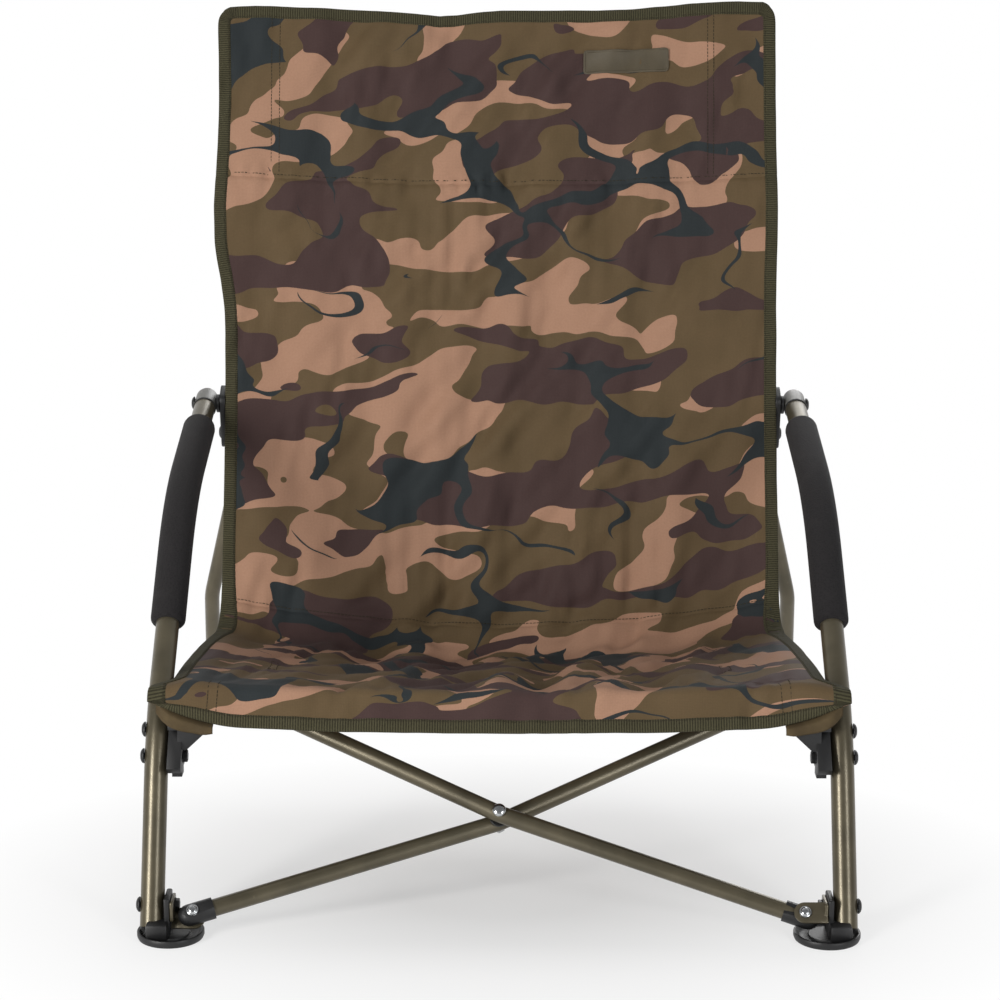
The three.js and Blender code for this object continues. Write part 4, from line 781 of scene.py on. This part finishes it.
def clothHeight(x, v):
    w = wrinkles
    free = np.clip(1 - (x / 0.275) ** 2, 0, 1)
    low = smoothStep(0.05, 0.45, v)
    nearCrook = np.exp(-((v - crookDown) / 0.07) ** 2)
    calm = 1 - 0.7 * smoothStep(seatFront - 0.02, seatFront, v)
    height = w["folds"][0] * free * low * np.cos(2 * math.pi * w["folds"][1] * x / 0.28 + 0.5) * calm
    height = height + w["soft"][0] * (0.25 + free) * ripple(x, v, *w["soft"][1:], 1) * calm
    height = height + w["slant"][0] * (0.2 + free) * ripple(x + 0.5 * v, v, *w["slant"][1:], 2) * calm
    patchy = 0.25 + 0.75 * smoothStep(-0.1, 0.5, ripple(x, v, *w["patches"], 6))
    height = height + w["small"][0] * patchy * ripple(x, v, *w["small"][1:], 3)
    # short pleats stand over the seat's seam, and hang under the upper one
    overSeam = np.clip(sling["seatSeamDown"] - v, 0, 1) / 0.04
    underSeam = np.clip(v - sling["seamDown"], 0, 1) / 0.05
    reach = overSeam * np.exp(1 - overSeam) * (v < sling["seatSeamDown"]) + underSeam * np.exp(1 - underSeam)
    fan = ripple(x * (1 + 0.5 * x), v, *w["pleat"][1:], 11)
    fan = fan * (0.35 + 0.65 * smoothStep(-0.2, 0.4, ripple(x, v, *w["bunches"], 12)))
    height = height + w["pleat"][0] * np.clip(reach, 0, 1) * fan * free
    height = height + w["crook"][0] * nearCrook * free * ripple(x, v, *w["crook"][1:], 4)
    seam = np.exp(-((v - sling["seamDown"]) / 0.013) ** 2)
    gathered = 0.5 + 1.6 * np.exp(-((x + 0.02) / 0.035) ** 2)
    height = height + w["pucker"][0] * seam * gathered * ripple(x, v, *w["pucker"][1:], 5)
    depth, half = w["groove"]
    for down in (sling["seamDown"], sling["seatSeamDown"]):
        height = height - depth * np.exp(-((v - down) / half) ** 2)
    # the cloth is drawn smooth over the seat rails, and lies on them
    onRail = smoothStep(*w["onRail"], np.abs(x)) * smoothStep(crookDown, crookDown + 0.05, v)
    height = height * (1 - w["railCalm"] * onRail) + w["railLift"] * onRail
    edgeCalm = smoothStep(0, 0.02, v) * smoothStep(0, 0.012, clothLength - v)
    return height * mm * (0.35 + 0.65 * edgeCalm)


# the top hem waves up and down across the back
topWave = {"x": (-0.29, -0.26, -0.2, -0.13, -0.065, 0.0, 0.13, 0.2, 0.25, 0.29),
           "z": (0.000, 0.002, 0.0005, -0.002, -0.007, -0.001, -0.0005, 0.006, 0.008, 0.0065), "fade": 0.07}


def clothPoint(x, v, lift=0.0):
    x, v, lift = (np.asarray(values, float) for values in (x, v, lift))
    top, a1, b1, a2, b2, hem, c1, c2, d1, d2, d3, turn1, turn2 = columnPath(x)
    t = np.interp(v, marksDown, np.arange(6))[..., None]
    angle1, angle2 = turn1 * (t - 1), turn2 * (t - 3)
    where = [t < 1, t < 2, t < 3, t < 4, t <= 6]
    spot = np.select(where, [
        top + (a1 - top) * t,
        c1 + (a1 - c1) * np.cos(angle1) + d1 * sling["crookBend"] * np.sin(angle1),
        b1 + (a2 - b1) * (t - 2),
        c2 + (a2 - c2) * np.cos(angle2) + d2 * sling["noseBend"] * np.sin(angle2),
        b2 + (hem - b2) * (t - 4)])
    way = np.select(where, [
        d1 + 0 * t,
        d1 * np.cos(angle1) - unitOf(a1 - c1) * np.sin(angle1),
        d2 + 0 * t,
        d2 * np.cos(angle2) - unitOf(a2 - c2) * np.sin(angle2),
        d3 + 0 * t])
    out = np.stack([way[..., 1], -way[..., 0]], -1)
    spot = spot + out * (clothHeight(x, v) + lift)[..., None]
    rise = np.interp(x, topWave["x"], topWave["z"]) * np.exp(-v / topWave["fade"])
    return np.stack([x + 0 * v, spot[..., 0], spot[..., 1] + rise], -1)


def gridMesh(name, points, flats, thickness):
    # a grid primitive, with each of its corners put in its place, then given the cloth's thickness
    rows, columns = points.shape[:2]
    bpy.ops.object.select_all(action="DESELECT")
    bpy.ops.mesh.primitive_grid_add(x_subdivisions=columns - 1, y_subdivisions=rows - 1, size=1)
    piece = bpy.context.object
    piece.name = name
    piece.data.vertices.foreach_set("co", points.reshape(-1, 3).astype(np.float32).ravel())
    piece.data.uv_layers[0].name = "cloth"
    loops = np.empty(len(piece.data.loops), np.int32)
    piece.data.loops.foreach_get("vertex_index", loops)
    piece.data.uv_layers[0].data.foreach_set("uv", flats.reshape(-1, 2)[loops].astype(np.float32).ravel())
    piece.data.update()
    shell = piece.modifiers.new("clothThickness", "SOLIDIFY")
    shell.thickness = thickness
    shell.offset = 0
    applyModifiers(piece)
    bpy.ops.object.shade_smooth()
    return piece


def meshPiece(name, points, faces, flats=None):
    mesh = bpy.data.meshes.new(name)
    mesh.from_pydata(points.reshape(-1, 3).tolist(), [], faces)
    if flats is not None:
        mesh.uv_layers.new(name="cloth").data.foreach_set("uv", flats)
    piece = newObject(name, mesh)
    bpy.ops.object.shade_smooth()
    return piece


def endRows(length, count):
    # rows that crowd towards a rounded end
    return np.linspace(0, length, count) ** 2 / length


def spacedRows():
    # closer rows at the top, the nose and the seams, where the cloth turns most
    rows = [endRows(sling["topRound"], 8), np.arange(sling["topRound"], marksDown[1], 0.0046),
            np.linspace(marksDown[1], marksDown[2], 20), np.arange(marksDown[2], seatFront - 0.03, 0.0048),
            np.arange(seatFront - 0.03, seatFront, 0.003), np.linspace(seatFront, marksDown[4], 7),
            np.linspace(marksDown[4], clothLength, 9)]
    atSeam = np.array([-0.0024, -0.001, 0, 0.001, 0.0024])
    rows += [sling[seam] + atSeam for seam in ("seamDown", "seatSeamDown")]
    rows = np.unique(np.round(np.concatenate(rows), 5))
    return rows[np.concatenate([[True], np.diff(rows) > 0.0004])]


rowDowns = spacedRows()
shares = np.linspace(-1, 1, sling["columns"])
gridV = np.repeat(rowDowns[:, None], len(shares), 1)
halves = [halfWidth(rowDowns, side)[:, None] for side in ("left", "right")]
gridX = np.where(shares[None, :] < 0, *halves) * shares[None, :]
slingSheet = gridMesh("camouflage_sling", clothPoint(gridX, gridV), np.stack([gridX, gridV], -1), sling["thickness"])
hand(slingSheet, "left_frame", slingCloth, "cloth", "seat_sling")
print("sling cloth made", len(slingSheet.data.polygons))


# Binding tape folded over the whole edge of the sling

# its section is inwards and up from the cut edge in mm; it spreads by a share at the crook and the front corners
tape = {"section": [(12.2, 0.62), (12.0, 1.1), (8.6, 1.3), (5, 1.35), (2, 1.3), (0.4, 1.1), (-0.55, 0.55), (-0.75, 0),
                    (-0.55, -0.55), (0.4, -1.1), (2, -1.3), (5, -1.35), (8.6, -1.3), (12.0, -1.1), (12.2, -0.62)],
        "step": 0.0035, "width": 0.0122, "girth": 0.025, "facet": 0.0018, "crookWider": 0.5, "cornerWider": 0.3,
        "ruffle": (0.0011, 0.012), "seamIn": 0.0106}


def slingOutline(step):
    downs = np.concatenate([endRows(sling["topRound"], 12),
                            np.arange(sling["topRound"], clothLength - 0.008, step)[1:],
                            clothLength - np.linspace(0.0075, 0, 6)])
    right = np.stack([halfWidth(downs, "right"), downs], -1)
    left = np.stack([-halfWidth(downs, "left"), downs], -1)[::-1]
    across = np.arange(left[-1, 0] + step, right[0, 0] - step / 2, step)
    topLine = np.stack([across, np.zeros_like(across)], -1)
    across = np.arange(right[-1, 0] - step, left[0, 0] + step / 2, -step)
    hemLine = np.stack([across, np.full_like(across, clothLength)], -1)
    line = np.concatenate([topLine, right, hemLine, left])
    # the corners are eased so the tape turns without a crease
    for _ in range(3):
        line = (np.roll(line, 1, 0) + 2 * line + np.roll(line, -1, 0)) / 4
    return line


outline = slingOutline(tape["step"])
ahead = unitOf(np.roll(outline, -2, 0) - np.roll(outline, 2, 0))
inward = np.stack([-ahead[:, 1], ahead[:, 0]], -1)
along = runLengths(outline)
section = np.array(tape["section"]) * mm
tapeIn, tapeUp = section[None, :, 0], section[None, :, 1]
ringCount, sectionCount = len(outline), len(section)
# the tape spreads and ruffles where it turns at the crook, and spreads at the front corners
edgeX, edgeV = np.abs(outline[:, 0]), outline[:, 1]
atCrook = np.exp(-((edgeV - crookDown - 0.012) / 0.045) ** 2) * (edgeX > 0.25)
atCorner = smoothStep(0.24, 0.30, edgeX) * smoothStep(seatFront - 0.03, seatFront, edgeV)
spread = 1 + tape["crookWider"] * atCrook + tape["cornerWider"] * atCorner
reachIn = np.where(tapeIn > 0, tapeIn * spread[:, None], tapeIn)
flatX = outline[:, None, 0] + inward[:, None, 0] * reachIn
flatV = np.clip(outline[:, None, 1] + inward[:, None, 1] * reachIn, 0, clothLength)
phase = 2 * math.pi * along / tape["ruffle"][1]
waves = np.sin(phase) + 0.6 * np.sin(phase / 1.7 + 1)
ruffle = tape["ruffle"][0] * (atCrook * waves)[:, None] * np.sin(np.clip(tapeIn / tape["width"], 0, 1) * math.pi)
tapePoints = clothPoint(flatX, flatV, np.repeat(tapeUp, ringCount, 0) + ruffle * (tapeUp > 0))
# past the cut edge the tape's fold stands just outside the cloth
beyond = (tapeIn < 0) * -tapeIn
tapePoints[..., 2] += beyond * (edgeV < 0.004)[:, None] - beyond * (edgeV > clothLength - 0.004)[:, None]
turns = ((0, 0), (0, 1), (1, 1), (1, 0))
cells = [(i, j) for i in range(ringCount) for j in range(sectionCount)]
tapeFaces = [[(i + di) % ringCount * sectionCount + (j + dj) % sectionCount for di, dj in turns] for i, j in cells]
acrossTape = np.linspace(0, tape["girth"], sectionCount)
tapeFlats = [value for i, j in cells for di, dj in turns
             for value in (along[i] + di * tape["step"], acrossTape[j] + dj * tape["facet"])]
tapePiece = meshPiece("sling_edge_tape", tapePoints, tapeFaces, tapeFlats)
cleanMesh(tapePiece, 1e-7)
hand(tapePiece, "left_frame", tapeCloth, "cloth")
print("edge tape made", len(tapePiece.data.polygons))


# Stitching: one stitch is shaped once and copied along each sewn line

stitch = {"length": 2.7, "pitch": 3.7, "width": 0.7, "height": 0.5, "soft": 0.18, "aboveTape": 0.00125}
# sewn lines: two across above the seams, four down the back's edges, a hem and a small box at each front corner
sewing = {"across": [(-0.281, 0.281, sling["seamDown"] - 0.0035), (-0.281, 0.283, sling["seatSeamDown"] - 0.003)],
          "back": (-0.2420, -0.2336, 0.2178, 0.2241), "backRun": (0.012, 0.180),
          "front": (0.257, 0.2655), "frontLean": 0.002, "frontRun": (seatFront - 0.012, clothLength - 0.012),
          "boxOut": (0.214, 0.222), "boxDown": (seatFront - 0.155, seatFront - 0.105)}
stitchCube = softBlock("stitch", [stitch[key] * mm for key in ("length", "width", "height")], (0, 0, 0),
                       stitch["soft"], 1)
stitchShape = np.array([v.co[:] for v in stitchCube.data.vertices])
stitchFaces = [list(p.vertices) for p in stitchCube.data.polygons]
bpy.data.objects.remove(stitchCube)


def stitchRow(line, lift):
    # line is a run of flat places on the cloth
    line = np.asarray(line, float)
    sums = runLengths(line)
    count = max(1, int(sums[-1] / (stitch["pitch"] * mm)))
    middles = (np.arange(count) + 0.5) * sums[-1] / count
    half = stitch["length"] * mm / 2
    places = [np.stack([np.interp(middles + d, sums, line[:, k]) for k in (0, 1)], -1) for d in (-half, 0, half)]
    back, here, front = (clothPoint(p[:, 0], p[:, 1], np.full(count, lift)) for p in places)
    up = clothPoint(places[1][:, 0], places[1][:, 1], np.full(count, lift + 0.001)) - here
    forward = unitOf(front - back)
    aside = unitOf(np.cross(up, forward))
    axes = (forward, aside, np.cross(forward, aside))
    return here[:, None, :] + sum(stitchShape[None, :, k, None] * axes[k][:, None, :] for k in (0, 1, 2))


def stitchPiece(name, rows, body):
    places = np.concatenate(rows)
    count, corners = places.shape[:2]
    faces = [[v + i * corners for v in face] for i in range(count) for face in stitchFaces]
    return hand(meshPiece(name, places, faces), body, sewn, "cloth")


faceUp = 0.5 * sling["thickness"]
sewnLines = [[(fromX, down), (toX, down)] for fromX, toX, down in sewing["across"]]
sewnLines += [[(x, down) for down in sewing["backRun"]] for x in sewing["back"]]
for sign in (-1, 1):
    start, end = sewing["frontRun"]
    sewnLines += [[(sign * x, start), (sign * (x + sewing["frontLean"]), end)] for x in sewing["front"]]
    sewnLines += [[(sign * x, down) for down in sewing["boxDown"]] for x in sewing["boxOut"]]
    sewnLines += [[(sign * x, down) for x in sewing["boxOut"]] for down in sewing["boxDown"]]
tapeLine = outline + inward * (tape["seamIn"] * spread[:, None])
tapeLine = np.concatenate([tapeLine, tapeLine[:1]])
rows = [stitchRow(line, faceUp + 0.0001) for line in sewnLines]
rows += [stitchRow(line, -faceUp - 0.0001) for line in sewnLines[:2]]
stitches = stitchPiece("sling_stitches", rows, "left_frame")
rows = [stitchRow(tapeLine, lift) for lift in (stitch["aboveTape"], -stitch["aboveTape"])]
tapeStitches = stitchPiece("tape_stitches", rows, "left_frame")
print("stitching made")


# The bare patch: a soft rubber plate with a raised rim, laid on the cloth

patch = {"width": 90, "height": 25, "thickness": 1.7, "rim": 2.0, "rimSlope": 0.35, "dip": 0.6, "corner": 4,
         "edge": 0.25, "slices": 15, "sliceMm": 5.6, "out": 0.132, "down": 0.0555, "lift": 0.0003}
patchPiece = boxPiece("bare_rubber_patch", [patch[key] * mm for key in ("width", "height", "thickness")],
                      (0, 0, patch["thickness"] * mm / 2))
rounding = patchPiece.modifiers.new("corners", "BEVEL")
rounding.width = patch["corner"] * mm
rounding.segments = 5
rounding.limit_method = "WEIGHT"
weights = patchPiece.data.attributes.new("bevel_weight_edge", "FLOAT", "EDGE")
for edge in patchPiece.data.edges:
    a, b = (patchPiece.data.vertices[i].co for i in edge.vertices)
    weights.data[edge.index].value = 1.0 if abs(a.z - b.z) > 0.5 * mm else 0.0
applyModifiers(patchPiece)
editAll(patchPiece)
bpy.ops.mesh.select_all(action="DESELECT")
bpy.ops.object.mode_set(mode="OBJECT")
for face in patchPiece.data.polygons:
    face.select = face.normal.z > 0.9
bpy.ops.object.mode_set(mode="EDIT")
bpy.ops.mesh.inset(thickness=patch["rim"] * mm)
bpy.ops.mesh.inset(thickness=patch["rimSlope"] * mm, depth=-patch["dip"] * mm)
bpy.ops.object.mode_set(mode="OBJECT")
softenEdges(patchPiece, patch["edge"] * mm, 2, 40)
# cut into strips, so it can follow the cloth
editAll(patchPiece)
for k in range(1, patch["slices"] + 1):
    bpy.ops.mesh.select_all(action="SELECT")
    bpy.ops.mesh.bisect(plane_co=((k * patch["sliceMm"] - patch["width"] / 2) * mm, 0, 0), plane_no=(1, 0, 0))
bpy.ops.object.mode_set(mode="OBJECT")
flat = np.array([v.co[:] for v in patchPiece.data.vertices])
laid = clothPoint(patch["out"] + flat[:, 0], patch["down"] - flat[:, 1], faceUp + patch["lift"] + flat[:, 2])
patchPiece.data.vertices.foreach_set("co", laid.astype(np.float32).ravel())
patchPiece.data.update()
cleanMesh(patchPiece, 1e-7)
smoothByAngle(patchPiece)
hand(patchPiece, "left_frame", patchRubber, "rubber", "badge_patch")


# Sewn sleeves: pockets round the pole tops, and sleeves under the seat rails

# flanges and ends are out and behind in metres; between them the cloth goes round the tube
sleeves = {"thickness": 0.001, "step": 0.0045, "arcRadius": 0.0093, "recline": 17.5, "poleOut": 0.279,
           "poleWave": 0.0005, "railWave": 0.0006, "inward": -0.0002, "pocketLength": 0.168, "pocketDown": 0.001,
           "poleFlange": [(0.2376, -0.0058), (0.2450, -0.0056), (0.2540, -0.0052), (0.2625, -0.0045),
                          (0.2680, -0.0036)],
           "poleArc": (190, -1, -14), "poleEnd": [(0.2882, -0.003), (0.2879, -0.0075)],
           "railFlange": [(-0.0190, -0.0048), (-0.0165, -0.0052), (-0.0140, -0.0056)],
           "railArc": (200, -21, -15), "railEnd": [(0.0088, -0.0062)],
           "railRuns": {"front": (-0.2285, 0.052), "rear": (-0.1405, 0.205)}}


def aroundTube(out, degrees):
    turns = [math.radians(angle) for angle in range(*degrees)]
    return [(out + sleeves["arcRadius"] * math.cos(turn), sleeves["arcRadius"] * math.sin(turn)) for turn in turns]


def sleeveSheet(name, path, start, way, rise, length, sign, wave, narrow=0.0):
    # path is out and behind, in metres, across a tube that runs from start along way
    path = np.array(path)
    fine = eased(np.concatenate([np.linspace(a, b, 4)[:-1] for a, b in zip(path, path[1:])] + [path[-1:]]), 2)
    sums = runLengths(fine)
    a, b = np.meshgrid(sums, np.linspace(0, length, int(length / sleeves["step"]) + 2))
    swell = wave * (ripple(a, b, 18, 34, 7) + 0.6 * ripple(a, b, 9, 60, 8)) * np.sin(math.pi * a / sums[-1])
    away = unitOf(fine - (fine[:, 0].mean(), -0.02))
    spot = fine + away * np.maximum(swell, sleeves["inward"])[..., None]
    points = np.array(start) + np.array(way) * b[..., None] + np.array(rise) * spot[..., 1:]
    points[..., 0] = sign * (spot[..., 0] + narrow * b / length)
    piece = gridMesh(name, points[:, ::sign], np.stack([a, b], -1)[:, ::sign], sleeves["thickness"])
    return piece, float(sums[-1])


recline = math.radians(sleeves["recline"])
poleDown = (0, -math.sin(recline), -math.cos(recline))
behind = (0, math.cos(recline), -math.sin(recline))
polePath = sleeves["poleFlange"] + aroundTube(sleeves["poleOut"], sleeves["poleArc"]) + sleeves["poleEnd"]
poleTop = Vector(backPole["corners"][1]) * mm
slope = Vector([rear - front for front, rear in zip(*seatRail["corners"])]).normalized()
railWay = (0, slope.y, slope.z)
below = tuple(Vector((0, slope.z, -slope.y)).normalized())
railPath = sleeves["railFlange"] + aroundTube(0, sleeves["railArc"]) + sleeves["railEnd"]
railStart = Vector(seatRail["corners"][0]) * mm
for side, sign in sides.items():
    body, length = side + "_frame", sleeves["pocketLength"]
    start = (0, poleTop.y, poleTop.z - sleeves["pocketDown"])
    pocket, wide = sleeveSheet(side + "_pole_top_pocket", polePath, start, poleDown, behind, length, sign,
                               sleeves["poleWave"])
    hand(pocket, body, pocketCloth, "cloth", side + "_pole_pocket")
    for label, (fromY, length) in sleeves["railRuns"].items():
        base = railStart + slope * ((fromY - railStart.y) / slope.y)
        path = [(base.x + out, back) for out, back in railPath]
        tube, wide = sleeveSheet(side + "_rail_sleeve_" + label, path, (0, base.y, base.z), railWay, below, length,
                                 sign, sleeves["railWave"], slope.x * length)
        hand(tube, body, pocketCloth, "cloth")

# small cloth pockets that close the sling's front corners over the leg brackets, from the tape down to the low edge;
# the profile is the place from the middle, and the share of the height
cornerPocket = {
    "out": (0.2615, 0.268, 0.277, 0.289, 0.2985, 0.3085, 0.3135),
    "tapeZ": (0.1815, 0.1825, 0.1845, 0.1880, 0.1925, 0.1985, 0.2030),
    "lowZ": (0.1765, 0.1758, 0.1765, 0.1785, 0.1818, 0.1875, 0.1940),
    "profile": [(-0.2560, 1.35), (-0.2650, 1.02), (-0.2658, 0.80), (-0.2664, 0.50), (-0.2668, 0.15), (-0.2660, 0.0)],
    "rows": 16, "columns": 30, "flatFrom": 0.300, "tipY": -0.2565, "thickness": 0.001, "flat": (0.056, 0.019),
}
for side, sign in sides.items():
    c = cornerPocket
    outs = np.linspace(c["out"][0], c["out"][-1], c["columns"])
    tapeZ, lowZ = np.interp(outs, c["out"], c["tapeZ"]), eased(np.interp(outs, c["out"], c["lowZ"]), 3)
    marks = np.linspace(0, 1, len(c["profile"]))
    back, share = (np.interp(np.linspace(0, 1, c["rows"]), marks, values)[:, None] for values in zip(*c["profile"]))
    taper = 1 - smoothStep(c["flatFrom"], c["out"][-1], outs)
    y = c["tipY"] + (back - c["tipY"]) * (0.25 + 0.75 * taper)
    x, z = outs + 0 * share, lowZ + (tapeZ - lowZ) * share
    points = np.stack([x * sign, y + 0.0007 * ripple(x, z, 22, 30, 9), z], -1)
    flats = np.stack([x, z + 0.4], -1)
    corner = gridMesh(side + "_corner_pocket", points[:, ::-sign], flats[:, ::-sign], c["thickness"])
    hand(corner, side + "_frame", liningCloth, "cloth")

# the sling and what is sewn on it each get a mesh of their own
sewnOn = [tapePiece, stitches, tapeStitches, patchPiece]
for piece in [slingSheet] + sewnOn:
    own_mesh(piece)
print("sleeves and pockets made")


# Floor, light and camera

studio = {
    "floorSize": 60, "floorColour": "#ececec", "worldColour": "#f2f3f4", "worldStrength": 0.26,
    # the paper is lifted less under the chair, which paints a darker patch there as its shadow on top of the real one,
    # and fully away from it
    "shadePlace": (0, 0.28, 0), "shadeStretch": (1, 1.4, 1), "shadeReach": (0.1, 0.55), "floorGlow": (0.34, 1.0),
    "glossFrom": (-0.2, 0.5), "white": (1, 1, 1, 1),
    # place, target, size, watts and colour
    "lamps": [
        ("keyLamp", (-2.0, -2.3, 1.0), (0, 0, 0.42), (0.6, 1.8), 84, (1, 0.985, 0.96)),
        ("fillLamp", (1.75, -2.5, 1.0), (0, 0, 0.42), (0.6, 1.8), 32, (0.98, 0.99, 1)),
        ("topLamp", (0.0, 1.2, 2.7), (0, -0.1, 0.1), (1.2, 0.9), 18, (1, 1, 1)),
        ("backLamp", (0.7, 2.8, 1.5), (0, 0.2, 0.4), (1.6, 1.6), 30, (1, 1, 1)),
    ],
}
for name, place, target, size, watts, colour in studio["lamps"]:
    light = bpy.data.lights.new(name, "AREA")
    light.shape = "RECTANGLE"
    light.size, light.size_y = size
    light.energy = watts
    light.color = colour
    lamp = newObject(name, light)
    lamp.location = place
    lamp.rotation_euler = (Vector(target) - Vector(place)).to_track_quat("-Z", "Y").to_euler()

bpy.ops.object.select_all(action="DESELECT")
bpy.ops.mesh.primitive_plane_add(size=studio["floorSize"], location=(0, 0, 0))
floor = bpy.context.object
floor.name = "studio_floor"
# matt white paper: lit as it is, and lifted towards white where the camera or a gloss looks at it
paperMaterial, tree, place = newMaterial("mattStudioPaper")
seen = addNode(tree, "LightPath").outputs
looks = addNode(tree, "Math", seen["Is Glossy Ray"], seen["Is Transmission Ray"], operation="MAXIMUM")
looks = addNode(tree, "Math", seen["Is Camera Ray"], looks, operation="MAXIMUM")
# painted shadow: the lift towards white shrinks near the chair, so the paper there is drawn darker
fromChair = addNode(tree, "Mapping", place, studio["shadePlace"], Scale=studio["shadeStretch"])
distance = addNode(tree, "VectorMath", fromChair, operation="LENGTH")
lift = addNode(tree, "MapRange", distance, *studio["shadeReach"], *studio["floorGlow"])
share = addNode(tree, "Math", looks, lift, operation="MULTIPLY")
paper = addNode(tree, "BsdfDiffuse", hexColour(studio["floorColour"]))
glow = addNode(tree, "Emission", studio["white"], 1)
addNode(tree, "OutputMaterial", addNode(tree, "MixShader", share, paper, glow))
floor.data.materials.append(paperMaterial)

world = bpy.data.worlds.new("studioWorld")
bpy.context.scene.world = world
world.use_nodes = True
tree = world.node_tree
tree.nodes.clear()
# a gloss sees the white behind the chair, and the dimmer studio in front of it
heading = addNode(tree, "SeparateXYZ", addNode(tree, "TexCoord").outputs["Generated"]).outputs["Y"]
behindChair = addNode(tree, "MapRange", heading, *studio["glossFrom"])
seen = addNode(tree, "LightPath").outputs
glossy = addNode(tree, "Math", seen["Is Glossy Ray"], behindChair, operation="MULTIPLY")
looks = addNode(tree, "Math", glossy, seen["Is Transmission Ray"], operation="MAXIMUM")
looks = addNode(tree, "Math", seen["Is Camera Ray"], looks, operation="MAXIMUM")
soft = addNode(tree, "Background", hexColour(studio["worldColour"]), studio["worldStrength"])
white = addNode(tree, "Background", studio["white"], 1)
addNode(tree, "OutputWorld", addNode(tree, "MixShader", looks, soft, white))
bpy.context.scene.view_settings.view_transform = "Standard"

view = {"place": (0, -2.617, 0.975), "tilt": 76.18, "roll": 0.15, "lens": 97.67, "sensor": 36, "reach": 100}
camera = bpy.data.cameras.new("photoCamera")
camera.lens = view["lens"]
camera.sensor_width = view["sensor"]
camera.clip_end = view["reach"]
cameraObject = newObject("photoCamera", camera)
turn = Matrix.Rotation(math.radians(view["tilt"]), 4, "X") @ Matrix.Rotation(math.radians(view["roll"]), 4, "Z")
cameraObject.matrix_world = Matrix.Translation(view["place"]) @ turn
bpy.context.scene.camera = cameraObject
print("studio ready")
